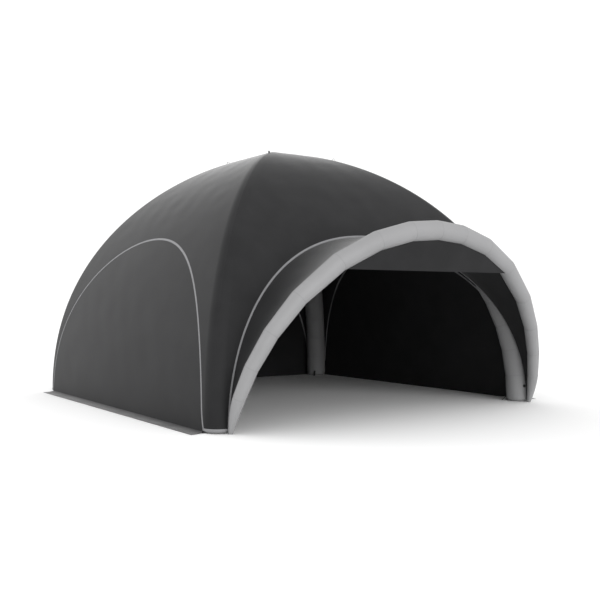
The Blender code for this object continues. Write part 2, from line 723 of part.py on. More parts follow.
def build():
    """Build every node of the tent."""
    clear_scene()
    cloth, wall_cloth, film, tape, plastic, webbing = (make_material(name) for name in MATERIALS)
    to_right, to_back = Vector((1.0, 0.0, 0.0)), Vector((0.0, 1.0, 0.0))

    leg, tab, loop = make_leg(), make_tab(), make_loop()
    for number, corner in enumerate(CORNERS):
        turn = -number * math.pi / 2
        add_node("leg_" + corner, leg, film, turn)
        add_node("anchor_tab_" + corner, tab, webbing, turn)
        add_node("ridge_loop_" + corner, loop, webbing, turn)
    add_node("crown_joint", make_crown_joint(), film)

    valve, front_hem, back_hem = make_valve(), make_hem(0.0), make_hem(WALL_FOOT_FLARE)
    add_node("valve_front_left", valve, plastic)
    add_node("valve_front_right", mirrored(valve, to_right), plastic)
    add_node("valve_back_left", mirrored(valve, to_back), plastic)
    add_node("valve_back_right", valve, plastic, math.pi)
    add_node("hem_front_left", front_hem, tape)
    add_node("hem_front_right", mirrored(front_hem, to_right), tape)
    add_node("hem_back_left", back_hem, tape, -math.pi / 2)
    add_node("hem_back_right", back_hem, tape, math.pi)

    wall = make_wall()
    side_skirt = make_skirt(-SKIRT_BACK_END, SKIRT_FRONT_END)
    back_skirt = make_skirt(-SKIRT_BACK_END, SKIRT_BACK_END)
    skirts = {"left": side_skirt, "back": back_skirt, "right": mirrored(side_skirt, to_right)}
    for number, side in enumerate(SIDES):
        turn = -number * math.pi / 2
        flare = WALL_FOOT_FLARE if side in skirts else 0.0
        add_node("roof_panel_" + side, make_roof_panel(flare), cloth, turn)
        add_node("zip_" + side, make_zip(flare), tape, turn)
        if side in skirts:
            add_node("wall_" + side, wall, wall_cloth, turn)
            add_node("skirt_" + side, skirts[side], cloth, turn)

    add_node("porch_arch", make_porch_tube("porch_arch"), film)
    add_node("porch_canopy", make_canopy(), cloth)
    add_node("valance", make_valance(), cloth)


build()
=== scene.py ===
"""Looks of an inflatable dome tent with an arched porch.

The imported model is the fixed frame. Its plain solids are dressed here: the cloth of the roof, the walls,
the porch and the skirts, the air-filled tubes with their welded seams, and the zips, webbing and valves.
Every size is in metres. Shapes are worked out about the dome's own centre, with the porch towards -Y, and
then moved to where the frame has them.
"""

import logging
import math
from dataclasses import dataclass, field
from enum import Enum
from functools import cached_property, partial
from typing import Callable, Iterable, Optional, Sequence

import bpy
import numpy as np
from mathutils import Euler, Matrix, Vector

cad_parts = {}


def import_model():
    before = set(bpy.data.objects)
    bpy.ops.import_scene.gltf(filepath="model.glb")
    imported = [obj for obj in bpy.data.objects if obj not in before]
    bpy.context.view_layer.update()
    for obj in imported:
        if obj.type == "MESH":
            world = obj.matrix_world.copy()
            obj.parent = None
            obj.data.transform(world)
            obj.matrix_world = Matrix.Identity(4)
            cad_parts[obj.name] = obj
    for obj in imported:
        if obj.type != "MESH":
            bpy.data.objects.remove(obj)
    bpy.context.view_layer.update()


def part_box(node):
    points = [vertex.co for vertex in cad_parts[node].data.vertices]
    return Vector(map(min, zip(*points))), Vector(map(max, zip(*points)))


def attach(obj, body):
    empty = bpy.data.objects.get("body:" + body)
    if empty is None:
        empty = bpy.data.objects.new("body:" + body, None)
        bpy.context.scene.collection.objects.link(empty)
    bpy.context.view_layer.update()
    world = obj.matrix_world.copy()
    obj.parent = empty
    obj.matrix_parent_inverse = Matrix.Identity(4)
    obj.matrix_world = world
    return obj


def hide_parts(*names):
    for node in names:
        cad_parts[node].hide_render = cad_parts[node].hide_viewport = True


LOG = logging.getLogger("tent")

Array = np.ndarray
ROOT_HALF = math.sqrt(0.5)
MERGE_DISTANCE = 1e-6


class Slot(Enum):
    """Material slots of the record that the pieces take their finish from."""

    DOME_CLOTH = "dome_cloth"
    WALL_CLOTH = "wall_cloth"
    TUBE_CLOTH = "tube_cloth"
    ZIP_TAPE = "zip_tape"
    VALVE_PLASTIC = "valve_plastic"
    WEBBING = "webbing"


class Side(Enum):
    """The four sides of the dome, each with its number of quarter turns from the front one."""

    FRONT = 0
    LEFT = 1
    BACK = 2
    RIGHT = 3

    @property
    def label(self) -> str:
        """Return the side's name in lower case."""
        return self.name.lower()

    @property
    def turn(self) -> float:
        """Return the angle about Z that brings the front side here."""
        return -self.value * math.pi / 2


class Corner(Enum):
    """The four legs, each with its number of quarter turns from the front left one."""

    FRONT_LEFT = 0
    BACK_LEFT = 1
    BACK_RIGHT = 2
    FRONT_RIGHT = 3

    @property
    def label(self) -> str:
        """Return the corner's name in lower case."""
        return self.name.lower()

    @property
    def turn(self) -> float:
        """Return the angle about Z that brings the front left corner here."""
        return -self.value * math.pi / 2

    @property
    def mirror(self) -> tuple[float, float]:
        """Return the signs of X and Y that bring the front left corner here."""
        return (-1.0 if "right" in self.label else 1.0, -1.0 if "back" in self.label else 1.0)


# Small tools for meshes

@dataclass
class Patch:
    """Where a grid's vertices go: points, flat cloth coordinates, and named values for materials."""

    points: Array
    flat: Array
    marks: dict[str, Array] = field(default_factory=dict)


def stack(*parts: Array) -> Array:
    """Return x, y and z arrays as points in the last axis."""
    return np.stack(np.broadcast_arrays(*parts), axis=-1)


def unit(vectors: Array) -> Array:
    """Return vectors of length 1."""
    return vectors / (np.linalg.norm(vectors, axis=-1, keepdims=True) + 1e-12)


def smooth_step(value: Array) -> Array:
    """Return a smooth rise from 0 to 1 as value goes from 0 to 1."""
    share = np.clip(value, 0.0, 1.0)
    return share * share * (3.0 - 2.0 * share)


def soft_bump(distance: Array, width: float) -> Array:
    """Return a soft bump of height 1 where the distance is 0."""
    return np.exp(-(distance / width) ** 2)


def running_length(points: Array) -> Array:
    """Return the length along a line of points, up to each of them."""
    return np.concatenate([[0.0], np.cumsum(np.linalg.norm(np.diff(points, axis=0), axis=1))])


def soft_waves(across: Array, along: Array, seed: int, wavelength: float, count: int = 8) -> Array:
    """Return gentle irregular waves between about -1 and 1.

    Args:
        across: first coordinate in metres.
        along: second coordinate in metres.
        seed: number that fixes the waves' directions and phases.
        wavelength: their middle wavelength in metres.
        count: how many waves are added up.

    Returns:
        The height of the waves at each place.
    """
    random = np.random.default_rng(seed)
    total = np.zeros(np.broadcast(across, along).shape)
    for _ in range(count):
        angle = random.uniform(0.0, math.pi)
        turns = 2 * math.pi / (wavelength * random.uniform(0.7, 1.7))
        phase = random.uniform(0.0, 2 * math.pi)
        total = total + np.sin((across * math.cos(angle) + along * math.sin(angle)) * turns + phase)
    return total / math.sqrt(count)


def select_only(piece: bpy.types.Object) -> None:
    """Make this object the only one that is selected, and the active one."""
    bpy.ops.object.select_all(action="DESELECT")
    piece.select_set(True)
    bpy.context.view_layer.objects.active = piece


def in_edit_mode(piece: bpy.types.Object, *steps: Callable[[], object]) -> None:
    """Run edit-mode operators on the whole mesh of a piece, one after the other."""
    select_only(piece)
    bpy.ops.object.mode_set(mode="EDIT")
    for step in steps:
        bpy.ops.mesh.select_all(action="SELECT")
        step()
    bpy.ops.object.mode_set(mode="OBJECT")


def apply_modifier(piece: bpy.types.Object, kind: str, **settings: object) -> None:
    """Add a modifier to a piece and apply it at once."""
    select_only(piece)
    modifier = piece.modifiers.new(kind.lower(), kind)
    for name, value in settings.items():
        setattr(modifier, name, value)
    bpy.ops.object.modifier_apply(modifier=modifier.name)


def shade(piece: bpy.types.Object, degrees: float = 35.0) -> None:
    """Shade a piece smooth, with edges sharper than this angle kept."""
    select_only(piece)
    bpy.ops.object.shade_smooth_by_angle(angle=math.radians(degrees))


def join(pieces: Sequence[bpy.types.Object]) -> bpy.types.Object:
    """Join several objects into the first of them and return it."""
    select_only(pieces[0])
    for piece in pieces:
        piece.select_set(True)
    bpy.ops.object.join()
    return pieces[0]


def turn_outwards() -> None:
    """Turn the selected faces of a closed mesh outwards."""
    bpy.ops.mesh.normals_make_consistent(inside=False)


def surface(name: str, columns: int, rows: int, shape: Callable[[Array, Array], Patch],
            capped: bool = False) -> bpy.types.Object:
    """Make a sheet or a tube by giving each vertex of a grid its place.

    Args:
        name: name of the new object.
        columns: number of faces across.
        rows: number of faces along.
        shape: returns the patch for each vertex's shares of the way across and along.
        capped: whether the grid closes on itself across, and its two ends are closed too.

    Returns:
        The sheet, or the closed solid.
    """
    bpy.ops.object.select_all(action="DESELECT")
    bpy.ops.mesh.primitive_grid_add(x_subdivisions=columns, y_subdivisions=rows, size=1.0)
    piece = bpy.context.active_object
    piece.name = piece.data.name = name
    mesh = piece.data
    start = np.zeros(len(mesh.vertices) * 3)
    mesh.vertices.foreach_get("co", start)
    start = start.reshape(-1, 3) + 0.5
    patch = shape(np.rint(start[:, 0] * columns) / columns, np.rint(start[:, 1] * rows) / rows)
    mesh.vertices.foreach_set("co", patch.points.astype(np.float32).ravel())
    owner = np.zeros(len(mesh.loops), dtype=np.int32)
    mesh.loops.foreach_get("vertex_index", owner)
    mesh.uv_layers.active.data.foreach_set("uv", patch.flat[owner].astype(np.float32).ravel())
    for mark, values in patch.marks.items():
        attribute = mesh.attributes.new(mark, "FLOAT", "POINT")
        attribute.data.foreach_set("value", values.astype(np.float32))
    mesh.update()
    in_edit_mode(piece, lambda: bpy.ops.mesh.remove_doubles(threshold=MERGE_DISTANCE))
    if capped:
        in_edit_mode(piece, lambda: bpy.ops.mesh.fill_holes(sides=0), turn_outwards)
    return piece


# Nodes and finishes

def linear(colour: str) -> tuple[float, float, float, float]:
    """Turn an sRGB hex colour into the linear values that a shader takes."""
    parts = [int(colour[k:k + 2], 16) / 255.0 for k in (1, 3, 5)]
    values = [c / 12.92 if c <= 0.04045 else ((c + 0.055) / 1.055) ** 2.4 for c in parts]
    return (values[0], values[1], values[2], 1.0)


def add_node(tree: bpy.types.NodeTree, kind: str, settings: Optional[dict] = None,
             values: Optional[dict] = None) -> bpy.types.Node:
    """Add one node to a material.

    Args:
        tree: the material's node tree.
        kind: the node's type, without its ShaderNode beginning.
        settings: properties of the node itself.
        values: for each input's name, a value, or an output socket to link to it.

    Returns:
        The new node.
    """
    node = tree.nodes.new("ShaderNode" + kind)
    for name, value in (settings or {}).items():
        setattr(node, name, value)
    for name, value in (values or {}).items():
        socket = node.inputs[name]
        if isinstance(value, bpy.types.NodeSocket):
            tree.links.new(value, socket)
        else:
            socket.default_value = value
    return node


@dataclass(frozen=True)
class ClothFinish:
    """Woven cloth: two sets of threads, soft mottling and a faint sheen."""

    name: str
    colour: str
    worn_colour: str
    roughness: float
    thread_mm: float
    relief_mm: float
    sheen: float = 0.55
    mottle_m: float = 0.45
    specular: float = 0.15

    def build(self) -> bpy.types.Material:
        """Return the material."""
        material = bpy.data.materials.new(self.name)
        material.use_nodes = True
        tree = material.node_tree
        shader = tree.nodes["Principled BSDF"]
        place = add_node(tree, "TexCoord")
        flat = place.outputs["UV"]
        threads = []
        for direction in ("X", "Y"):
            threads.append(add_node(
                tree, "TexWave",
                {"wave_type": "BANDS", "bands_direction": direction, "wave_profile": "SIN"},
                {"Vector": flat, "Scale": self.wave_scale, "Distortion": 0.6, "Detail": 1.0,
                 "Detail Scale": 2.0}))
        weave = add_node(tree, "Math", {"operation": "MULTIPLY"}, {
            0: threads[0].outputs["Fac"], 1: threads[1].outputs["Fac"]})
        mottle = add_node(tree, "TexNoise", None, {
            "Vector": place.outputs["Object"], "Scale": 1.0 / self.mottle_m, "Detail": 4.0,
            "Roughness": 0.55})
        tint = add_node(tree, "ValToRGB", None, {"Fac": mottle.outputs["Fac"]})
        tint.color_ramp.elements[0].position = 0.35
        tint.color_ramp.elements[0].color = linear(self.colour)
        tint.color_ramp.elements[1].position = 0.75
        tint.color_ramp.elements[1].color = linear(self.worn_colour)
        relief = add_node(tree, "Bump", None, {
            "Height": weave.outputs[0], "Distance": self.relief_mm / 1000.0, "Strength": 0.5})
        shader.inputs["Roughness"].default_value = self.roughness
        shader.inputs["Specular IOR Level"].default_value = self.specular
        shader.inputs["Sheen Weight"].default_value = self.sheen
        shader.inputs["Sheen Roughness"].default_value = 0.25
        tree.links.new(tint.outputs["Color"], shader.inputs["Base Color"])
        tree.links.new(relief.outputs["Normal"], shader.inputs["Normal"])
        return material

    @property
    def wave_scale(self) -> float:
        """Return the wave texture's scale for one band to each thread, 20 units to a wave of 2 pi."""
        return 2 * math.pi / (self.thread_mm / 1000.0) / 20.0


@dataclass(frozen=True)
class TubeFinish:
    """Coated cloth of an air-filled tube, with darker welded seams."""

    name: str
    colour: str
    seam_colour: str
    roughness: float
    thread_mm: float
    relief_mm: float

    def build(self) -> bpy.types.Material:
        """Return the material."""
        material = bpy.data.materials.new(self.name)
        material.use_nodes = True
        tree = material.node_tree
        shader = tree.nodes["Principled BSDF"]
        place = add_node(tree, "TexCoord")
        scale = 2 * math.pi / (self.thread_mm / 1000.0) / 20.0
        threads = [
            add_node(tree, "TexWave", {"wave_type": "BANDS", "bands_direction": direction},
                     {"Vector": place.outputs["UV"], "Scale": scale})
            for direction in ("X", "Y")]
        weave = add_node(tree, "Math", {"operation": "MULTIPLY"}, {
            0: threads[0].outputs["Fac"], 1: threads[1].outputs["Fac"]})
        dust = add_node(tree, "TexNoise", None, {
            "Vector": place.outputs["Object"], "Scale": 2.5, "Detail": 5.0, "Roughness": 0.6})
        tone = add_node(tree, "ValToRGB", None, {"Fac": dust.outputs["Fac"]})
        tone.color_ramp.elements[0].position = 0.3
        tone.color_ramp.elements[0].color = tuple(c * 0.94 for c in linear(self.colour)[:3]) + (1.0,)
        tone.color_ramp.elements[1].position = 0.7
        tone.color_ramp.elements[1].color = linear(self.colour)
        seam = add_node(tree, "Attribute", {"attribute_name": "seam"})
        colour = add_node(tree, "Mix", {"data_type": "RGBA"}, {"Factor": seam.outputs["Fac"]})
        tree.links.new(tone.outputs["Color"], colour.inputs["A"])
        colour.inputs["B"].default_value = linear(self.seam_colour)
        relief = add_node(tree, "Bump", None, {
            "Height": weave.outputs[0], "Distance": self.relief_mm / 1000.0, "Strength": 0.4})
        tree.links.new(colour.outputs["Result"], shader.inputs["Base Color"])
        tree.links.new(relief.outputs["Normal"], shader.inputs["Normal"])
        shader.inputs["Roughness"].default_value = self.roughness
        shader.inputs["Specular IOR Level"].default_value = 0.4
        return material


@dataclass(frozen=True)
class RibbedFinish:
    """Narrow woven tape or webbing, with ribs across it and painted shade in the grooves between them."""

    name: str
    colour: str
    groove_shade_colour: str
    roughness: float
    rib_mm: float
    relief_mm: float

    def build(self) -> bpy.types.Material:
        """Return the material."""
        material = bpy.data.materials.new(self.name)
        material.use_nodes = True
        tree = material.node_tree
        shader = tree.nodes["Principled BSDF"]
        place = add_node(tree, "TexCoord")
        ribs = add_node(
            tree, "TexWave", {"wave_type": "BANDS", "bands_direction": "Y"},
            {"Vector": place.outputs["UV"], "Scale": 2 * math.pi / (self.rib_mm / 1000.0) / 20.0})
        # Painted shade: the grooves between the ribs take the darker colour and the rib tops the lighter one.
        colour = add_node(tree, "Mix", {"data_type": "RGBA"}, {"Factor": ribs.outputs["Fac"]})
        colour.inputs["A"].default_value = linear(self.groove_shade_colour)
        colour.inputs["B"].default_value = linear(self.colour)
        relief = add_node(tree, "Bump", None, {
            "Height": ribs.outputs["Fac"], "Distance": self.relief_mm / 1000.0, "Strength": 0.6})
        tree.links.new(colour.outputs["Result"], shader.inputs["Base Color"])
        tree.links.new(relief.outputs["Normal"], shader.inputs["Normal"])
        shader.inputs["Roughness"].default_value = self.roughness
        return material


@dataclass(frozen=True)
class MouldedFinish:
    """Moulded plastic with a fine spark-eroded grain."""

    name: str
    colour: str
    roughness: float
    grain_mm: float
    relief_mm: float

    def build(self) -> bpy.types.Material:
        """Return the material."""
        material = bpy.data.materials.new(self.name)
        material.use_nodes = True
        tree = material.node_tree
        shader = tree.nodes["Principled BSDF"]
        place = add_node(tree, "TexCoord")
        grain = add_node(tree, "TexNoise", None, {
            "Vector": place.outputs["Object"], "Scale": 1000.0 / self.grain_mm, "Detail": 2.0})
        relief = add_node(tree, "Bump", None, {
            "Height": grain.outputs["Fac"], "Distance": self.relief_mm / 1000.0, "Strength": 0.3})
        tree.links.new(relief.outputs["Normal"], shader.inputs["Normal"])
        shader.inputs["Base Color"].default_value = linear(self.colour)
        shader.inputs["Roughness"].default_value = self.roughness
        return material


@dataclass(frozen=True)
class Finishes:
    """Every finish of the tent, built once."""

    # Dyed polyester with a matt coating: dark, dry, and a little lighter in soft random patches.
    # Its threads are 0.5 mm apart, and they are drawn at 3 mm so that they show.
    dome: ClothFinish = ClothFinish(
        "coated_polyester_dark_grey", "#222223", "#282829", 0.7, 3.0, 0.25)
    wall: ClothFinish = ClothFinish(
        "coated_polyester_dark_grey_wall", "#212122", "#272728", 0.7, 3.0, 0.25)
    # Coated cloth of the air tubes: pale grey and half matt, with a smooth weld line at each seam.
    tube: TubeFinish = TubeFinish(
        "coated_tube_cloth_pale_grey", "#8c8c8d", "#838384", 0.55, 3.0, 0.12)
    # Zip tape and piping: pale woven polyester with ribs across it, and painted shade in the grooves between
    # the ribs.
    tape: RibbedFinish = RibbedFinish(
        "woven_zip_tape_pale_grey", "#8c8c8e", "#707072", 0.7, 8.0, 0.8)
    # Polypropylene webbing: black, coarse ribs that catch a little light, with painted shade in the grooves
    # between them.
    webbing: RibbedFinish = RibbedFinish(
        "polypropylene_webbing_black", "#242425", "#111112", 0.7, 4.0, 0.5)
    # Nylon of the valves: black and satin, with a fine moulded grain.
    valve: MouldedFinish = MouldedFinish("moulded_nylon_black", "#151516", 0.45, 0.8, 0.05)

    @cached_property
    def materials(self) -> dict[Slot, bpy.types.Material]:
        """Return the material for each slot of the record."""
        return {
            Slot.DOME_CLOTH: self.dome.build(),
            Slot.WALL_CLOTH: self.wall.build(),
            Slot.TUBE_CLOTH: self.tube.build(),
            Slot.ZIP_TAPE: self.tape.build(),
            Slot.WEBBING: self.webbing.build(),
            Slot.VALVE_PLASTIC: self.valve.build(),
        }


# The tent's shape, about the dome's own centre

@dataclass(frozen=True)
class LegCurve:
    """The centreline of a leg in its own upright plane, from the ground to the crown."""

    spacing: float = 5.609
    tube_radius: float = 0.1955
    height: float = 3.9268
    height_power: float = 2.2067
    reach_power: float = 1.7625
    samples: int = 6001

    @cached_property
    def table(self) -> dict[str, Array]:
        """Return reach, height, outward normal and length along the leg, sampled finely."""
        turn = np.linspace(0.0, 1.0, self.samples)
        up = self.height * np.sin(turn * math.pi / 2)
        share = np.clip(1.0 - (up / self.height) ** self.height_power, 0.0, None)
        reach = self.spacing / math.sqrt(2) * share ** (1 / self.reach_power)
        step = np.hypot(np.diff(reach), np.diff(up))
        length = np.concatenate([[0.0], np.cumsum(step)])
        along_reach, along_up = np.gradient(reach, length), np.gradient(up, length)
        size = np.hypot(along_reach, along_up)
        along_reach[0], along_up[0], size[0] = 0.0, 1.0, 1.0
        return {"length": length, "reach": reach, "height": up,
                "out": along_up / size, "lift": -along_reach / size}

    @property
    def length(self) -> float:
        """Return the length of the centreline from the ground to the crown."""
        return float(self.table["length"][-1])

    def at(self, along: Array) -> tuple[Array, Array, Array, Array]:
        """Return reach, height and the outward normal's two parts at lengths along the leg."""
        table = self.table
        return tuple(np.interp(along, table["length"], table[key])
                     for key in ("reach", "height", "out", "lift"))

    def tube_point(self, along: Array, angle: Array, radius: Array) -> Array:
        """Return points round the front left leg, at an angle from its ridge towards the front."""
        reach, height, out, lift = self.at(along)
        root = math.sqrt(0.5)
        ridge, side = np.cos(angle), np.sin(angle)
        x = (-reach + radius * (-ridge * out + side)) * root
        y = (-reach + radius * (-ridge * out - side)) * root
        return stack(x, y, height + radius * ridge * lift)

    def half_width(self, along: Array) -> Array:
        """Return how far the flat part of a side reaches from its middle."""
        return self.at(along)[0] * math.sqrt(0.5)

    def ridge_width(self, along: Array) -> Array:
        """Return how far the ridge lies from the side's middle, measured over the cloth."""
        return self.half_width(along) + self.tube_radius * np.arctan(self.at(along)[2])

    def side_point(self, across: Array, along: Array, lift: Array) -> Array:
        """Return points of the front side's cloth.

        Args:
            across: distance from the middle of the side, over the cloth.
            along: length along the legs' centreline.
            lift: height of the cloth above the tubes.

        Returns:
            The points.
        """
        half = self.half_width(along)
        tangent = np.arctan(self.at(along)[2])
        beyond = np.maximum(np.abs(across) - half, 0.0) / self.tube_radius
        angle = np.clip(tangent - beyond, 0.0, None)
        points = self.tube_point(along, angle, self.tube_radius + lift)
        flat = np.abs(across) <= half
        x = np.where(flat, across, -np.sign(across) * points[..., 0])
        return stack(x, points[..., 1], points[..., 2])


@dataclass(frozen=True)
class ArchLine:
    """The arch cut in each side, seen square on, and laid on the side's cloth."""

    half_width: float = 2.7496
    height: float = 2.5606
    width_power: float = 2.0562
    height_power: float = 2.1251
    foot_flare: float = 0.055
    flare_height: float = 0.32
    samples: int = 4001

    def flat(self, turn: Array, grow: float = 0.0) -> Array:
        """Return x and z on the arch line, with turn from 0 at the right foot to 1 at the left one."""
        angle = turn * math.pi
        side = np.sign(np.cos(angle))
        x = self.half_width * side * np.abs(np.cos(angle)) ** (2 / self.width_power)
        z = self.height * np.abs(np.sin(angle)) ** (2 / self.height_power)
        flare = np.clip(1.0 - z / self.flare_height, 0.0, None) ** 2
        points = np.stack([x + side * self.foot_flare * flare, z], axis=-1)
        along = np.gradient(points, axis=0)
        along /= np.linalg.norm(along, axis=1, keepdims=True) + 1e-12
        return points + np.stack([along[:, 1], -along[:, 0]], axis=-1) * grow

    def line(self, legs: LegCurve, grow: float, bottom: float, count: int) -> tuple[Array, Array]:
        """Return the arch line laid on the cloth, as evenly spaced points.

        Args:
            legs: the legs that carry the cloth.
            grow: how far outwards the line is moved.
            bottom: height where the line starts and ends.
            count: number of points.

        Returns:
            Their distances across and along the side, from the right foot to the left one.
        """
        points = self.flat(np.linspace(0.0, 1.0, self.samples), grow)
        points = points[points[:, 1] >= bottom]
        profile = legs.table["length"]
        tangent = np.arctan(legs.table["out"])
        heights = legs.table["height"] + legs.tube_radius * np.cos(tangent) * legs.table["lift"]
        along = np.interp(points[:, 1], heights, profile)
        half, out = legs.half_width(along), legs.at(along)[2]
        lean = np.arctan(out)
        inside = (np.abs(points[:, 0]) - half) * math.sqrt(2) / legs.tube_radius
        bend = np.arcsin(np.clip(inside / np.sqrt(1 + out ** 2), -1.0, 1.0))
        across = np.where(inside > 0.0, half + legs.tube_radius * bend, np.abs(points[:, 0]))
        across = across * np.sign(points[:, 0])
        laid = legs.side_point(across, along, np.zeros_like(across))
        length = np.concatenate([[0.0], np.cumsum(np.linalg.norm(np.diff(laid, axis=0), axis=1))])
        wanted = np.linspace(0.0, length[-1], count)
        return np.interp(wanted, length, across), np.interp(wanted, length, along)


@dataclass(frozen=True)
class PorchCurve:
    """The porch arch's leaning centreline and the tube round it."""

    half_width: float = 2.7566
    height: float = 2.5721
    width_power: float = 2.0255
    height_power: float = 1.7676
    bulge: float = 0.0287
    foot_reach: float = 3.0438
    top_lean: float = 0.7379
    lean_sag: float = 0.0371
    low_radius: float = 0.0723
    top_radius: float = 0.1349
    foot_taper: float = 0.57
    foot_taper_power: float = 1.5
    foot_rings: tuple[float, ...] = (0.12, 0.2, 0.28, 0.36)
    seams: tuple[float, ...] = (0.45, 0.855, 1.34, 1.905, 2.6, 3.23, 3.78)
    samples: int = 8001
    halvings: int = 24

    def centre(self, turn: Array) -> tuple[Array, Array]:
        """Return points of the centreline and their share of the height."""
        angle = turn * math.pi
        rise = np.abs(np.sin(angle)) ** (2 / self.height_power)
        width = np.sign(np.cos(angle)) * np.abs(np.cos(angle)) ** (2 / self.width_power)
        reach = self.foot_reach + self.top_lean * rise - self.lean_sag * rise * (1.0 - rise)
        return stack(self.half_width * width * (1.0 + self.bulge * rise), -reach,
                     self.height * rise), rise

    def radius(self, rise: Array, walk: Array) -> Array:
        """Return the tube's radius at a share of the arch's height, this length from the nearer foot."""
        full = self.low_radius + (self.top_radius - self.low_radius) * rise
        left = np.clip(1.0 - walk / self.seams[0], 0.0, None)
        return full * (1.0 - self.foot_taper * left ** self.foot_taper_power)

    @cached_property
    def corners(self) -> tuple[Array, Array]:
        """Return the centres and radii of the tube's rings, from the right foot to the left one."""
        turn = np.linspace(0.0, 0.5, self.samples)
        length = running_length(self.centre(turn)[0])
        walk = np.array([0.0, *self.foot_rings, *self.seams, length[-1]])
        found = np.interp(walk, length, turn)
        centres, rise = self.centre(np.concatenate([found, 1.0 - found[-2::-1]]))
        return centres, self.radius(rise, np.concatenate([walk, walk[-2::-1]]))

    def across(self, centres: Array) -> tuple[Array, Array]:
        """Return the outward and rearward directions square to a line of centres."""
        axis = unit(np.gradient(centres, axis=0))
        square = unit(self.rear - axis * (axis @ self.rear)[:, None])
        return np.cross(square, axis), square

    def clearance(self, points: Array) -> Array:
        """Return how far points lie outside the tube, with less than 0 inside it."""
        centres, radii = self.corners
        nearest = np.full(len(points), np.inf)
        for start, end, near, far in zip(centres, centres[1:], radii, radii[1:]):
            step = end - start
            share = np.clip((points - start) @ step / (step @ step), 0.0, 1.0)
            distance = np.linalg.norm(points - start - share[:, None] * step, axis=1)
            nearest = np.minimum(nearest, distance - near - (far - near) * share)
        return nearest

    def meet(self, start: Array, end: Array, gap: float) -> Array:
        """Return where straight lines from outside the tube to its inside reach it.

        Args:
            start: the lines' first points, outside the tube.
            end: their last points, inside it.
            gap: how far before the tube they stop.

        Returns:
            The points where they stop.
        """
        low, high = np.zeros(len(start)), np.ones(len(start))
        for _ in range(self.halvings):
            middle = (low + high) / 2
            outside = self.clearance(start + (end - start) * middle[:, None]) > gap
            low, high = np.where(outside, middle, low), np.where(outside, high, middle)
        return start + (end - start) * low[:, None]

    @property
    def lean(self) -> float:
        """Return the angle by which the arch leans forward."""
        return math.atan2(self.top_lean, self.height)

    @property
    def rear(self) -> Array:
        """Return the direction square to the arch's plane, towards the dome."""
        return np.array([0.0, math.cos(self.lean), math.sin(self.lean)])


@dataclass(frozen=True)
class TentShape:
    """All the shared curves of the tent, with the place of the dome's centre in the frame."""

    centre_y: float
    legs: LegCurve = field(default_factory=LegCurve)
    arch: ArchLine = field(default_factory=ArchLine)
    front_arch: ArchLine = field(default_factory=lambda: ArchLine(foot_flare=0.0))
    porch: PorchCurve = field(default_factory=PorchCurve)
    hem_height: float = 0.03
    cloth_lift: float = 0.0022
    cloth_thickness: float = 0.0016

    @property
    def arches(self) -> tuple[tuple[ArchLine, tuple[Side, ...]], ...]:
        """Return the open front's arch line and the walls' one, each with its sides."""
        return (self.front_arch, (Side.FRONT,)), (self.arch, (Side.LEFT, Side.BACK, Side.RIGHT))

    @property
    def cloth_top(self) -> float:
        """Return the height of the cloth's outer face above the tubes."""
        return self.cloth_lift + self.cloth_thickness / 2


class Workshop:
    """Puts pieces in place, dresses them and hands them to the frame."""

    def __init__(self, shape: TentShape, finishes: Finishes) -> None:
        """Keep the shape and the finishes that every piece shares."""
        self.shape = shape
        self.finishes = finishes

    def copy(self, piece: bpy.types.Object, name: str, turn: float = 0.0,
             mirror: tuple[float, float] = (1.0, 1.0)) -> bpy.types.Object:
        """Return a copy of a piece with its own mesh, put in its place.

        Args:
            piece: the piece, about the dome's own centre.
            name: name of the copy.
            turn: angle by which it is turned about the dome's axis.
            mirror: signs of X and Y, which mirror it before it is turned.

        Returns:
            The copy.
        """
        twin = piece.copy()
        twin.data = piece.data.copy()
        twin.name = twin.data.name = name
        bpy.context.scene.collection.objects.link(twin)
        move = Matrix.Translation((0.0, self.shape.centre_y, 0.0))
        twin.data.transform(move @ Matrix.Rotation(turn, 4, "Z") @ Matrix.Diagonal((*mirror, 1.0, 1.0)))
        if mirror[0] != mirror[1]:
            twin.data.flip_normals()
        return twin

    def finish(self, piece: bpy.types.Object, slot: Slot, *nodes: str) -> bpy.types.Object:
        """Dress a piece that is in its place, and let it ride on the tent.

        Args:
            piece: the piece.
            slot: the material slot that it takes its finish from.
            nodes: plain solids of the frame that it stands for.

        Returns:
            The same piece.
        """
        piece.data.materials.clear()
        piece.data.materials.append(self.finishes.materials[slot])
        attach(piece, "root")
        if nodes:
            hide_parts(*nodes)
        LOG.info("%s: %d faces, stands for %s", piece.name, len(piece.data.polygons), ", ".join(nodes))
        return piece

    def finish_copies(self, piece: bpy.types.Object, slot: Slot, name: str, node: str,
                      places: Iterable[Side | Corner], mirrored: bool = False) -> list[bpy.types.Object]:
        """Put a copy of a piece at each side or corner, and remove the first one.

        Args:
            piece: the piece at the front side or the front left corner.
            slot: the material slot of the copies.
            name: how the copies' names begin.
            node: how the names of the nodes that they stand for begin.
            places: sides or corners.
            mirrored: whether the copies at the corners are mirrored and not turned.

        Returns:
            The copies, in the order of the places.
        """
        made = []
        for place in places:
            put = {"mirror": place.mirror} if mirrored else {"turn": place.turn}
            twin = self.copy(piece, f"{name}_{place.label}", **put)
            made.append(self.finish(twin, slot, f"{node}_{place.label}"))
        bpy.data.objects.remove(piece)
        return made


# Air-filled tubes

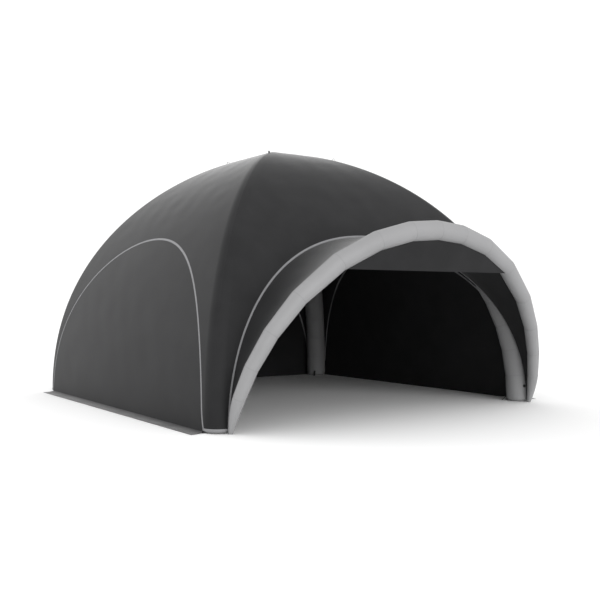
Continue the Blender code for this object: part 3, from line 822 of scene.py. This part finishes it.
@dataclass(frozen=True)
class TubeMaker:
    """Makes an air-filled tube of straight lengths that are welded together at mitred seams."""

    around: int = 96
    seam_rows: tuple[float, ...] = (0.0, 0.003, 0.006, 0.012, 0.025, 0.05, 0.1)
    pinch: float = 0.0016
    pinch_width: float = 0.0045
    swell: float = 0.0010
    pleat_depth: float = 0.0009
    pleat_count: int = 19
    pleat_reach: float = 0.045
    slant_reach: float = 0.1
    tuck: float = 0.0008
    foot_rows: int = 8

    def rows(self, sizes: Array, foot_rounding: float) -> Array:
        """Return the tube's rings, each as the number of its length and its share along it."""
        rows = []
        bend = np.linspace(0.0, math.pi / 2, self.foot_rows)
        for number, size in enumerate(sizes):
            near = [distance / size for distance in self.seam_rows if distance < size * 0.4]
            shares = near + [0.5] + [1.0 - share for share in reversed(near)]
            if number == 0 and foot_rounding > 0.0:
                foot = list(foot_rounding * (1.0 - np.cos(bend)) / size)
                shares = foot + [share for share in shares if share > foot[-1] + 0.01]
            if number < len(sizes) - 1:
                shares = shares[:-1]
            rows += [(number, share) for share in shares]
        return np.array(rows)

    def build(self, name: str, centres: Array, radii: Array, side: Array, foot_rounding: float = 0.0,
              feet: tuple[bool, bool] = (True, False), plain: int = 0) -> bpy.types.Object:
        """Make the tube.

        Args:
            name: name of the piece.
            centres: the corners of its centreline.
            radii: its radius at each corner.
            side: the direction square to the plane that the centreline lies in.
            foot_rounding: radius of the rounding where its first end stands on the ground.
            feet: whether its first and last ends stand on the ground.
            plain: how many corners next to each end are bends without a weld.

        Returns:
            The tube, closed at both ends.
        """
        steps = np.diff(centres, axis=0)
        sizes = np.linalg.norm(steps, axis=1)
        axes = unit(steps)
        starts = running_length(centres)
        last = len(sizes) - 1
        rows = self.rows(sizes, foot_rounding)

        def shape(across: Array, along: Array) -> Patch:
            angle = across * 2 * math.pi
            row = rows[np.rint(along * (len(rows) - 1)).astype(int)]
            part, share = row[:, 0].astype(int), row[:, 1]
            axis, size = axes[part], sizes[part]
            square = unit(side - axis * (axis @ side)[:, None])
            out = np.cross(square, axis)
            ridge, sideways = np.cos(angle), np.sin(angle)
            inner_half = smooth_step(0.6 - ridge)
            radius = radii[part] * (1.0 - share) + radii[part + 1] * share - self.tuck
            radius = radius + self.swell * np.sin(math.pi * share)
            seam, slant = np.zeros_like(share), np.zeros_like(share)
            for direction, distance in ((-1, share * size), (1, (1.0 - share) * size)):
                neighbour = np.clip(part + direction, 0, last)
                corner = np.maximum(part, part + direction)
                welded = (corner > plain) & (corner <= last - plain)
                bend = np.linalg.norm(np.cross(axis, axes[neighbour]), axis=1)
                fade = np.clip(1.0 - distance / self.slant_reach, 0.0, 1.0)
                slant += direction * np.tan(np.arcsin(bend) / 2) * fade
                seam = np.maximum(seam, soft_bump(distance, self.pinch_width) * welded)
                pleats = 0.5 + 0.5 * np.cos(angle * self.pleat_count + part)
                radius = radius - self.pleat_depth * pleats * inner_half * welded * np.exp(
                    -distance / self.pleat_reach)
            radius = radius - self.pinch * seam
            low = share * size
            if foot_rounding > 0.0:
                inward = np.clip(1.0 - low / foot_rounding, 0.0, 1.0) * (part == 0)
                radius = radius - foot_rounding * (1.0 - np.sqrt(1.0 - inward ** 2))
            centre = centres[part] + axis * low[:, None]
            ring = (out * ridge[:, None] + square * sideways[:, None]) * radius[:, None]
            points = centre + ring + axis * (slant * ridge * radius)[:, None]
            for stands, ends, distance in ((feet[0], part == 0, low), (feet[1], part == last, size - low)):
                fade = np.clip(1.0 - distance / self.slant_reach, 0.0, 1.0) * ends * stands
                rise = np.where(fade > 0.0, axis[:, 2], 1.0)
                points = points - axis * (fade * ring[:, 2] / rise)[:, None]
            flat = np.stack([angle * radii[part], starts[part] + low], axis=-1)
            return Patch(points, flat, {"seam": seam})

        piece = surface(name, self.around, len(rows) - 1, shape, capped=True)
        shade(piece)
        return piece


@dataclass
class Legs:
    """The four air-filled legs and the joint of their tubes at the crown."""

    workshop: Workshop
    tubes: TubeMaker = field(default_factory=TubeMaker)
    segments: int = 14
    crown_reach: float = 0.25
    foot_rounding: float = 0.06

    def stations(self) -> Array:
        """Return lengths along the front left leg to its foot, its seams and the crown joint."""
        table = self.workshop.shape.legs.table
        end = float(np.interp(-self.crown_reach, -table["reach"], table["length"]))
        return np.linspace(0.0, end, self.segments + 1)

    def centres(self, along: Array) -> Array:
        """Return points of the front left leg's centreline."""
        reach, height = self.workshop.shape.legs.at(along)[:2]
        return stack(-reach * ROOT_HALF, -reach * ROOT_HALF, height)

    def build(self) -> None:
        """Build the legs and the crown joint."""
        curve = self.workshop.shape.legs
        stations = self.stations()
        sideways = np.array([ROOT_HALF, -ROOT_HALF, 0.0])
        radii = np.full(len(stations), curve.tube_radius)
        leg = self.tubes.build("leg", self.centres(stations), radii, sideways, self.foot_rounding)
        self.workshop.finish_copies(leg, Slot.TUBE_CLOTH, "air_leg", "leg", Corner)
        near = self.centres(stations[-1:])
        top = np.array([[0.0, 0.0, curve.height]])
        arms = []
        for turn in (0.0, math.pi / 2):
            far = near * np.array([-1.0, -1.0, 1.0])
            arm = self.tubes.build(
                "arm", np.concatenate([near, top, far]), radii[:3], sideways, feet=(False, False))
            arm.data.transform(Matrix.Rotation(turn, 4, "Z"))
            arms.append(arm)
        apply_modifier(arms[0], "BOOLEAN", operation="UNION", object=arms[1], solver="EXACT")
        bpy.data.objects.remove(arms[1])
        joint = self.workshop.copy(arms[0], "crown_cross")
        bpy.data.objects.remove(arms[0])
        self.workshop.finish(joint, Slot.TUBE_CLOTH, "crown_joint")


# The dome's cloth

@dataclass
class DomeCloth:
    """The roof between the legs and the walls that close three of its arches."""

    workshop: Workshop
    roof_columns: int = 208
    roof_rows: int = 44
    wall_columns: int = 176
    wall_rows: int = 44
    ridge_rows: tuple[float, ...] = (0.0, 0.003, 0.013, 0.017, 0.022, 0.04)
    seam_width: float = 0.015
    seam_rise: float = 0.0012
    wave_height: float = 0.0009
    wave_length: float = 0.5
    wave_fade: float = 0.35
    wall_gap: float = 0.001
    line_samples: int = 1201

    def lift(self, across: Array, along: Array, edge: Array, seed: int) -> Array:
        """Return the cloth's height above the tubes, with its seams and soft folds.

        Args:
            across: distance from the middle of the side.
            along: length along the legs.
            edge: distance from the nearest sewn edge.
            seed: number that fixes the folds.

        Returns:
            The height of the cloth's middle.
        """
        shape = self.workshop.shape
        free = smooth_step((shape.legs.half_width(along) - np.abs(across)) / self.wave_fade)
        waves = soft_waves(across, along, seed, self.wave_length)
        return shape.cloth_lift + self.wave_height * waves * free * smooth_step(edge / self.wave_fade)

    def roof_patch(self, arch_line: ArchLine, across: Array, along: Array) -> Patch:
        """Return the front roof panel, from its arch line to the ridges."""
        shape = self.workshop.shape
        legs = shape.legs
        line = arch_line.line(legs, 0.0, shape.hem_height, self.line_samples)
        arch = [np.interp(across, np.linspace(0.0, 1.0, len(part)), part) for part in line]
        rise = 1.0 - np.abs(2.0 * across - 1.0)
        up = shape.hem_height + (legs.length - shape.hem_height) * rise
        side = np.where(across < 0.5, 1.0, -1.0)
        ridge = (side * legs.ridge_width(up), up)
        span = np.hypot(arch[0] - ridge[0], arch[1] - ridge[1]) + 1e-9
        near = len(self.ridge_rows) - 1
        row = np.rint((1.0 - along) * self.roof_rows)
        fixed = np.interp(row, np.arange(near + 1), self.ridge_rows) / span
        even = self.ridge_rows[-1] / span
        even = even + (1.0 - even) * (row - near) / (self.roof_rows - near)
        share = np.where(row <= near, fixed, even)
        s, m = (ridge[k] + (arch[k] - ridge[k]) * share for k in (0, 1))
        to_ridge = share * span
        lift = self.lift(s, m, np.minimum(to_ridge, span - to_ridge), 3)
        lift = lift + self.seam_rise * (1.0 - smooth_step((to_ridge - self.seam_width) / 0.002 + 0.5))
        return Patch(legs.side_point(s, m, lift), np.stack([s, m], axis=-1))

    def wall_patch(self, across: Array, along: Array) -> Patch:
        """Return the front side's wall, from the ground to the arch line."""
        shape = self.workshop.shape
        line = self.wall_line()
        arch = [np.interp(across, np.linspace(0.0, 1.0, len(part)), part) for part in line]
        s, m = arch[0], arch[1] * along
        edge = np.minimum(arch[1] - m, m)
        return Patch(shape.legs.side_point(s, m, self.lift(s, m, edge, 8)), np.stack([s, m], axis=-1))

    def wall_line(self) -> tuple[Array, Array]:
        """Return the wall's edge, as distances across and along the side."""
        shape = self.workshop.shape
        return shape.arch.line(shape.legs, -self.wall_gap, 0.0, self.line_samples)

    def height_over_cloth(self, bottom: float, top: float) -> float:
        """Return a side's height in its middle, measured over the cloth between two lengths up the legs."""
        up = np.linspace(bottom, top, self.line_samples)
        middle = self.workshop.shape.legs.side_point(0.0 * up, up, 0.0 * up)
        return float(running_length(middle)[-1])

    def stretch(self, cloth: bpy.types.Object, slot: Slot, name: str, node: str, sides: Iterable[Side]) -> None:
        """Give a side's cloth its thickness and put it on each of these sides."""
        apply_modifier(cloth, "SOLIDIFY", thickness=self.workshop.shape.cloth_thickness, offset=0.0)
        shade(cloth)
        for piece in self.workshop.finish_copies(cloth, slot, name, node, sides):
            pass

    def build(self) -> None:
        """Build the roof panels and the walls."""
        shape = self.workshop.shape
        hem = shape.hem_height
        roof_cut = (2 * float(shape.legs.ridge_width(np.array(hem))),
                    self.height_over_cloth(hem, shape.legs.length))
        for arch_line, sides in shape.arches:
            roof = surface("roof", self.roof_columns, self.roof_rows, partial(self.roof_patch, arch_line))
            self.stretch(roof, Slot.DOME_CLOTH, "roof_cloth", "roof_panel", sides)
        wall = surface("wall", self.wall_columns, self.wall_rows, self.wall_patch)
        edge = self.wall_line()
        wall_cut = (float(np.ptp(edge[0])), self.height_over_cloth(0.0, float(edge[1].max())))
        self.stretch(wall, Slot.WALL_CLOTH, "wall_cloth", "wall", shape.arches[1][1])


@dataclass
class Bands:
    """The zips round the arches and the hem bands at the feet of the covers."""

    workshop: Workshop
    columns: int = 400
    zip_near: float = -0.004
    zip_far: float = 0.025
    tape_thickness: float = 0.0012
    coil_middle: float = 0.0085
    coil_half: float = 0.0045
    coil_rise: float = 0.0042
    inner_bottom: float = 0.3
    inner_half: float = 0.016
    hem_rise: float = 0.03
    wall_hem_reach: float = 0.1455
    hem_overlap: float = 0.003

    def profile(self, near: float, far: float, middle: float, base: float, out: float) -> Array:
        """Return a tape's section with a raised coil, as distances outwards and heights.

        Args:
            near: where the tape starts, outwards from the arch line.
            far: where it ends.
            middle: where the coil lies.
            base: height of the face that the tape lies on.
            out: 1 where the coil is on the outside, -1 where it is inside.

        Returns:
            The section's points in turn.
        """
        top = self.tape_thickness
        bend = np.linspace(math.pi, 0.0, 7)
        coil = [(middle + self.coil_half * math.cos(b), top + self.coil_rise * math.sin(b)) for b in bend]
        section = [(near, 0.0), (near, top), *coil, (far, top), (far, 0.0)]
        return np.array([(grow, base + out * height) for grow, height in section])

    def sweep(self, arch_line: ArchLine, section: Array, bottom: float) -> bpy.types.Object:
        """Return a band with this section, laid along an arch line of the front side."""
        shape = self.workshop.shape
        lines = [arch_line.line(shape.legs, grow, bottom, self.columns + 1) for grow, _ in section]

        def place(across: Array, along: Array) -> Patch:
            number = np.rint(across * len(section)).astype(int) % len(section)
            step = np.rint(along * self.columns).astype(int)
            s, m = (np.array([line[k] for line in lines])[number, step] for k in (0, 1))
            points = shape.legs.side_point(s, m, section[number, 1])
            return Patch(points, np.stack([across * 0.05, along * 9.0], axis=-1))

        piece = surface("band", len(section), self.columns, place, capped=True)
        shade(piece)
        return piece

    def hem(self, front_reach: float) -> bpy.types.Object:
        """Return the band round the foot of the front left leg's cover.

        Args:
            front_reach: how far it reaches from the ridge towards the front, over the cloth.

        Returns:
            The band, which reaches to the wall's zip on the other side.
        """
        shape = self.workshop.shape
        radius = shape.legs.tube_radius
        rise = self.hem_rise
        section = np.array([(0.0, 0.0), (0.0, 0.002), (0.003, 0.0034), (rise / 2, 0.0038),
                            (rise - 0.003, 0.0034), (rise, 0.002), (rise, 0.0)])

        def place(across: Array, along: Array) -> Patch:
            number = np.rint(across * len(section)).astype(int) % len(section)
            up = shape.hem_height + section[number, 0]
            walk = (self.wall_hem_reach + front_reach) * along - self.wall_hem_reach
            angle = np.minimum(walk / radius, math.pi / 4)
            points = shape.legs.tube_point(up, angle, radius + shape.cloth_top + section[number, 1])
            points[:, 0] += walk - angle * radius
            return Patch(points, np.stack([across * 0.05, walk], axis=-1))

        piece = surface("hem", len(section), 60, place, capped=True)
        shade(piece)
        return piece

    def build(self) -> None:
        """Build the zips and the hem bands."""
        shape = self.workshop.shape
        outside = self.profile(self.zip_near, self.zip_far, self.coil_middle, shape.cloth_top, 1.0)
        inside = self.profile(-self.inner_half, self.inner_half, 0.0,
                              shape.cloth_lift - shape.cloth_thickness / 2, -1.0)
        for arch_line, sides in shape.arches:
            tapes = [self.sweep(arch_line, outside, shape.hem_height),
                     self.sweep(arch_line, inside, self.inner_bottom)]
            self.workshop.finish_copies(join(tapes), Slot.ZIP_TAPE, "zip_tape", "zip", sides)
        flat_part = shape.legs.spacing / 2 - shape.front_arch.half_width - self.zip_far
        front_reach = shape.legs.tube_radius * math.pi / 4 + flat_part + self.hem_overlap
        for reach, corners in ((front_reach, (Corner.FRONT_LEFT, Corner.FRONT_RIGHT)),
                               (self.wall_hem_reach, (Corner.BACK_LEFT, Corner.BACK_RIGHT))):
            self.workshop.finish_copies(
                self.hem(reach), Slot.ZIP_TAPE, "hem_band", "hem", corners, mirrored=True)


@dataclass
class Skirts:
    """The strips of cloth on the ground along the walls."""

    workshop: Workshop
    half_width: float = 3.0
    rise: float = 0.017
    reach: float = 0.185
    back_end: float = 2.77
    front_end: float = 2.80
    front_slant: float = 0.04
    thickness: float = 0.0016
    hem_width: float = 0.016
    wave_height: float = 0.003

    def patch(self, end: float, slant: float, seed: int) -> Callable[[Array, Array], Patch]:
        """Return the shape of a strip along the front side.

        Args:
            end: x of its right end at the wall.
            slant: how much further its right end lies at the outer edge.
            seed: number that fixes its waves.

        Returns:
            The shape, from the strip's left end to its right one and from the wall outwards.
        """
        face = self.workshop.shape.cloth_top + self.half_width + 0.0012

        def place(across: Array, along: Array) -> Patch:
            out = along ** 1.4
            x = (end + slant * out + self.back_end) * across - self.back_end
            drop = self.rise * (1.0 - out) ** 3
            waves = 0.5 + 0.5 * soft_waves(x, out * 0.2, seed, 0.55)
            lift = self.wave_height * waves * smooth_step(out * 1.5) * smooth_step((1.0 - out) * 12.0)
            hem = 0.0012 * smooth_step((out * self.reach - self.reach + self.hem_width) / 0.002 + 0.5)
            z = self.thickness / 2 + drop + np.maximum(lift, 0.0) + hem
            y = -(face + self.reach * out)
            return Patch(stack(x, y, z), np.stack([x, out * self.reach], axis=-1))

        return place

    def build(self) -> None:
        """Build the three skirts."""
        for side in (Side.LEFT, Side.BACK, Side.RIGHT):
            end, slant = ((self.back_end, 0.0) if side is Side.BACK else (self.front_end, self.front_slant))
            strip = surface("strip", 180, 26, self.patch(end, slant, 20 + side.value))
            apply_modifier(strip, "SOLIDIFY", thickness=self.thickness, offset=0.0)
            shade(strip)
            mirror = (-1.0, 1.0) if side is Side.RIGHT else (1.0, 1.0)
            piece = self.workshop.copy(strip, f"ground_skirt_{side.label}", side.turn, mirror)
            bpy.data.objects.remove(strip)
            self.workshop.finish(piece, Slot.DOME_CLOTH, f"skirt_{side.label}")


# The porch

@dataclass
class Porch:
    """The leaning air tube in front, the canopy over it and the valance under its top."""

    workshop: Workshop
    tubes: TubeMaker = field(default_factory=lambda: TubeMaker(pleat_reach=0.03))
    seat_angle: float = math.radians(45.0)
    seat_depth: float = 0.6
    weld_gap: float = 0.0012
    canopy_columns: int = 208
    canopy_rows: int = 30
    canopy_sag: float = 0.06
    fold_height: float = 0.0012
    valance_bottom: float = 2.026
    valance_forward: float = 0.066
    valance_hem: float = 0.02
    samples: int = 4001

    def seat_line(self) -> tuple[Array, Array]:
        """Return the line inside the tube that the canopy runs to, and its bearings on the tube's face."""
        curve = self.workshop.shape.porch
        centres, rise = curve.centre(np.linspace(0.0, 1.0, self.samples))
        walk = running_length(centres)
        radii = curve.radius(rise, np.minimum(walk, walk[-1] - walk))
        out, square = curve.across(centres)
        reach = (out * math.cos(self.seat_angle) + square * math.sin(self.seat_angle)) * radii[:, None]
        face = centres + reach
        return centres + reach * self.seat_depth, np.arctan2(face[:, 2], face[:, 0])

    @cached_property
    def canopy_edges(self) -> tuple[Array, Array]:
        """Return the canopy's edges at the front arch line and at the tube, a point for each column."""
        shape = self.workshop.shape
        arch = shape.front_arch.line(shape.legs, -0.001, shape.hem_height, self.canopy_columns + 1)
        rear = shape.legs.side_point(*arch, np.full_like(arch[0], shape.cloth_lift))
        seat, bearing = self.seat_line()
        wanted = np.arctan2(rear[:, 2], rear[:, 0])
        deep = np.stack([np.interp(wanted, bearing, seat[:, k]) for k in range(3)], axis=-1)
        return rear, shape.porch.meet(rear, deep, self.weld_gap)

    def canopy_patch(self, across: Array, along: Array) -> Patch:
        """Return the canopy, a saddle between the front arch line and the porch tube."""
        column = np.rint(across * self.canopy_columns).astype(int)
        rear, front = (edge[column] for edge in self.canopy_edges)
        walk = sum(running_length(edge) for edge in self.canopy_edges)[column] / 2
        span = np.linalg.norm(front - rear, axis=1)
        inward = -unit(np.stack([rear[:, 0], 0.0 * rear[:, 0], rear[:, 2]], axis=-1))
        folds = soft_waves(walk, along * span, 31, 0.45) * self.fold_height
        sag = (self.canopy_sag * span + folds) * 4.0 * along * (1.0 - along)
        points = rear + (front - rear) * along[:, None] + inward * sag[:, None]
        return Patch(points, np.stack([walk, along * span], axis=-1))

    def plane(self) -> tuple[Array, Array, Array]:
        """Return a point of the arch's plane, its upward direction and its forward direction."""
        curve = self.workshop.shape.porch
        foot = np.array([0.0, -curve.foot_reach, 0.0])
        return foot, np.array([0.0, -math.sin(curve.lean), math.cos(curve.lean)]), -curve.rear

    def valance_patch(self, across: Array, along: Array) -> Patch:
        """Return the valance, from its hem to the tube."""
        curve = self.workshop.shape.porch
        foot, up, front = self.plane()
        bottom = (self.valance_bottom - front[2] * self.valance_forward) / up[2]
        foot = foot + front * self.valance_forward
        sideways = np.array([1.0, 0.0, 0.0])
        centres = curve.corners[0]
        inside = np.stack([centres[:, 0], (centres - foot) @ up], axis=-1)
        start = foot + up * bottom
        right = inside[:len(inside) // 2 + 1]
        end = start + sideways * np.interp(bottom, right[:, 1], right[:, 0])
        half = curve.meet(start[None], end[None], self.weld_gap)[0, 0]
        x = half * (1.0 - 2.0 * across)
        low = start + sideways * x[:, None]
        crown = np.interp(x, inside[::-1, 0], inside[::-1, 1])
        top = (curve.meet(low, low + up * (crown - bottom)[:, None], self.weld_gap) - foot) @ up
        height = bottom + (top - bottom) * along
        waves = soft_waves(x, height, 41, 0.6) * 0.0015 * smooth_step((top - height) * 6.0)
        hem = 0.0012 * (1.0 - smooth_step((height - bottom - self.valance_hem) / 0.003 + 0.5))
        points = low + up * (height - bottom)[:, None] + front * (0.002 + waves + hem)[:, None]
        return Patch(points, np.stack([x, height], axis=-1))

    def build(self) -> None:
        """Build the porch."""
        shape = self.workshop.shape
        centres, radii = shape.porch.corners
        arch = self.tubes.build("arch", centres, radii, shape.porch.rear, feet=(True, True),
                                plain=len(shape.porch.foot_rings))
        placed = self.workshop.copy(arch, "air_arch")
        self.workshop.finish(placed, Slot.TUBE_CLOTH, "porch_arch")
        bpy.data.objects.remove(arch)
        canopy = surface("canopy", self.canopy_columns, self.canopy_rows, self.canopy_patch)
        valance = surface("valance", 160, 24, self.valance_patch)
        for piece, name, node, held in (
                (canopy, "canopy_cloth", "porch_canopy", "stretched"),
                (valance, "valance_cloth", "valance", "hung")):
            flat = np.zeros(len(piece.data.loops) * 2)
            piece.data.uv_layers.active.data.foreach_get("uv", flat)
            apply_modifier(piece, "SOLIDIFY", thickness=shape.cloth_thickness, offset=0.0)
            shade(piece)
            placed = self.workshop.copy(piece, name)
            bpy.data.objects.remove(piece)
            self.workshop.finish(placed, Slot.DOME_CLOTH, node)


# Small fittings

@dataclass
class Fittings:
    """The valves, anchor tabs and ridge loops of the legs."""

    workshop: Workshop
    valve_height: float = 0.25
    valve_angle: float = math.radians(67.5)
    valve_radius: float = 0.0235
    valve_depth: float = 0.010
    tab_height: float = 0.1
    tab_reach: float = 0.073
    tab_half: float = 0.019
    strap_thickness: float = 0.0024
    loop_reach: float = 0.92
    loop_radius: float = 0.018
    loop_half: float = 0.0095
    loop_stand: float = 0.016

    def make_valve(self) -> bpy.types.Object:
        """Return a valve at the origin, with its flange on the ground plane and its cap above."""
        bpy.ops.object.select_all(action="DESELECT")
        flange = 0.004
        bpy.ops.mesh.primitive_cylinder_add(
            vertices=48, radius=self.valve_radius, depth=flange, location=(0.0, 0.0, flange / 2))
        piece = bpy.context.active_object
        bpy.ops.object.transform_apply(location=True)
        bpy.ops.object.mode_set(mode="EDIT")
        bpy.ops.mesh.select_mode(type="FACE")
        bpy.ops.mesh.select_all(action="DESELECT")
        bpy.ops.object.mode_set(mode="OBJECT")
        for face in piece.data.polygons:
            face.select = face.normal.z > 0.9
        bpy.ops.object.mode_set(mode="EDIT")
        for inset, rise in ((0.004, 0.0), (0.0008, self.valve_depth - flange - 0.0015), (0.0015, 0.0015),
                            (0.005, 0.0), (0.001, -0.003)):
            bpy.ops.mesh.inset(thickness=inset)
            bpy.ops.transform.translate(value=(0.0, 0.0, rise))
        bpy.ops.object.mode_set(mode="OBJECT")
        apply_modifier(piece, "BEVEL", width=0.0006, segments=2, limit_method="ANGLE",
                       angle_limit=math.radians(40.0))
        shade(piece, 30.0)
        return piece

    def strap(self, name: str, section: Array, half: float, columns: int) -> bpy.types.Object:
        """Return a strap that follows a line in the X-Z plane, as wide as twice half along Y."""
        length = running_length(section)

        def place(across: Array, along: Array) -> Patch:
            walk = along * length[-1]
            x, z = (np.interp(walk, length, section[:, k]) for k in (0, 1))
            y = (2.0 * across - 1.0) * half
            return Patch(stack(x, y, z), np.stack([y, walk], axis=-1))

        piece = surface(name, 8, columns, place)
        apply_modifier(piece, "SOLIDIFY", thickness=self.strap_thickness, offset=0.0)
        shade(piece)
        return piece

    def seat(self, piece: bpy.types.Object, origin: Array, x: Array, y: Array, z: Array) -> None:
        """Move a piece so that its own axes lie along these directions from this origin."""
        turn = Matrix([[float(v[k]) for v in (x, y, z)] for k in range(3)]).to_4x4()
        piece.data.transform(Matrix.Translation([float(c) for c in origin]) @ turn)

    def build(self) -> None:
        """Build and seat the fittings."""
        legs = self.workshop.shape.legs
        one = np.ones(1)
        radius = legs.tube_radius
        up = np.array([0.0, 0.0, 1.0])
        angle = self.valve_angle * one
        spot = legs.tube_point(self.valve_height * one, angle, (radius - 0.001) * one)[0]
        above = legs.tube_point((self.valve_height + 0.05) * one, angle, (radius - 0.001) * one)[0]
        beside = legs.tube_point(self.valve_height * one, angle + 0.05, (radius - 0.001) * one)[0]
        sideways = unit(beside - spot)
        outward = unit(np.cross(sideways, above - spot))
        valve = self.make_valve()
        self.seat(valve, spot, sideways, np.cross(outward, sideways), outward)
        in_edit_mode(valve, turn_outwards)
        self.workshop.finish_copies(
            valve, Slot.VALVE_PLASTIC, "air_valve", "valve", Corner, mirrored=True)

        inward = np.array([ROOT_HALF, ROOT_HALF, 0.0])
        across = np.array([ROOT_HALF, -ROOT_HALF, 0.0])
        foot = -inward * legs.spacing * ROOT_HALF
        turn = np.linspace(0.0, 1.0, 24)
        start, end = radius + 0.008, radius + self.tab_reach
        slope = start + (end - start) * turn ** 1.6
        drop = self.strap_thickness / 2 + self.tab_height * (1.0 - turn) ** 1.3
        tab = self.strap("tab", np.stack([slope, drop], axis=-1), self.tab_half, 40)
        self.seat(tab, foot, inward, across, up)
        in_edit_mode(tab, turn_outwards)
        self.workshop.finish_copies(tab, Slot.WEBBING, "anchor_strap", "anchor_tab", Corner)

        top = self.workshop.shape.cloth_top + 0.001
        reach = legs.table["reach"] + (radius + top) * legs.table["out"]
        m = float(np.interp(-self.loop_reach, -reach, legs.table["length"]))
        ridge = [legs.tube_point((m + d) * one, 0.0 * one, (radius + top) * one)[0] for d in (0.0, 0.02)]
        along = unit(ridge[1] - ridge[0])
        outward = np.cross(across, along)
        outward = outward * np.sign(outward[2])
        bend = np.linspace(0.0, math.pi, 25)
        arc = np.stack([self.loop_radius * np.cos(bend),
                        self.loop_stand + self.loop_radius * np.sin(bend)], axis=-1)
        line = np.concatenate([[[self.loop_radius + 0.02, 0.001], [self.loop_radius + 0.004, 0.0015],
                                [self.loop_radius, 0.005]], arc,
                               [[-self.loop_radius, 0.005], [-self.loop_radius - 0.004, 0.0015],
                                [-self.loop_radius - 0.02, 0.001]]])
        loop = self.strap("loop", line, self.loop_half, 90)
        self.seat(loop, ridge[0], along, across, outward)
        in_edit_mode(loop, turn_outwards)
        self.workshop.finish_copies(loop, Slot.WEBBING, "ridge_strap", "ridge_loop", Corner)


# Camera, light and floor

@dataclass
class Studio:
    """A white studio: pale floor, even white surroundings and two broad, low lights."""

    centre_y: float
    camera_place: tuple[float, float, float] = (-7.8715, -11.8248, 1.6530)
    camera_turn: tuple[float, float, float] = (89.924, 0.0, -35.008)
    lens_mm: float = 49.70
    floor_half: float = 90.0
    floor_drop: float = 0.0015
    floor_colour: str = "#fafafa"
    surroundings: float = 1.12
    back_strength: float = 0.85
    back_from: tuple[float, float, float] = (-0.5, 0.85, 0.3)
    front_strength: float = 1.62
    front_from: tuple[float, float, float] = (0.0, -0.98, 0.15)
    light_spread: float = math.radians(45.0)

    def add_light(self, name: str, strength: float, source: tuple[float, float, float]) -> None:
        """Add a soft distant light that shines from a direction."""
        lamp = bpy.data.lights.new(name, "SUN")
        lamp.energy = strength
        lamp.angle = self.light_spread
        light = bpy.data.objects.new(name, lamp)
        light.rotation_euler = Vector(source).to_track_quat("Z", "Y").to_euler()
        bpy.context.scene.collection.objects.link(light)

    def build(self) -> None:
        """Build the camera, the lights and the floor."""
        scene = bpy.context.scene
        scene.view_settings.view_transform = "Standard"
        camera = bpy.data.cameras.new("camera")
        camera.lens = self.lens_mm
        camera.sensor_width = 36.0
        x, y, z = self.camera_place
        holder = bpy.data.objects.new("camera", camera)
        holder.location = (x, y + self.centre_y, z)
        holder.rotation_euler = Euler([math.radians(a) for a in self.camera_turn])
        scene.collection.objects.link(holder)
        scene.camera = holder
        world = bpy.data.worlds.new("surroundings")
        world.use_nodes = True
        world.node_tree.nodes["Background"].inputs["Color"].default_value = (1.0, 1.0, 1.0, 1.0)
        world.node_tree.nodes["Background"].inputs["Strength"].default_value = self.surroundings
        scene.world = world
        self.add_light("back_light", self.back_strength, self.back_from)
        self.add_light("front_light", self.front_strength, self.front_from)
        bpy.ops.object.select_all(action="DESELECT")
        bpy.ops.mesh.primitive_plane_add(size=2 * self.floor_half, location=(0.0, 0.0, -self.floor_drop))
        floor = bpy.context.active_object
        floor.name = "floor"
        paint = bpy.data.materials.new("matt_white_floor")
        paint.use_nodes = True
        shader = paint.node_tree.nodes["Principled BSDF"]
        shader.inputs["Base Color"].default_value = linear(self.floor_colour)
        shader.inputs["Roughness"].default_value = 1.0
        shader.inputs["Specular IOR Level"].default_value = 0.0
        floor.data.materials.append(paint)


def main() -> None:
    """Load the frame and build every sub-assembly around it."""
    logging.basicConfig(level=logging.INFO, format="%(name)s: %(message)s")
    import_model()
    low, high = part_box("crown_joint")
    shape = TentShape(centre_y=(low.y + high.y) / 2)
    workshop = Workshop(shape, Finishes())
    Studio(shape.centre_y).build()
    for part in (Legs(workshop), DomeCloth(workshop), Bands(workshop), Skirts(workshop), Porch(workshop),
                 Fittings(workshop)):
        part.build()
        LOG.info("built %s", type(part).__name__)


if __name__ == "__main__":
    main()
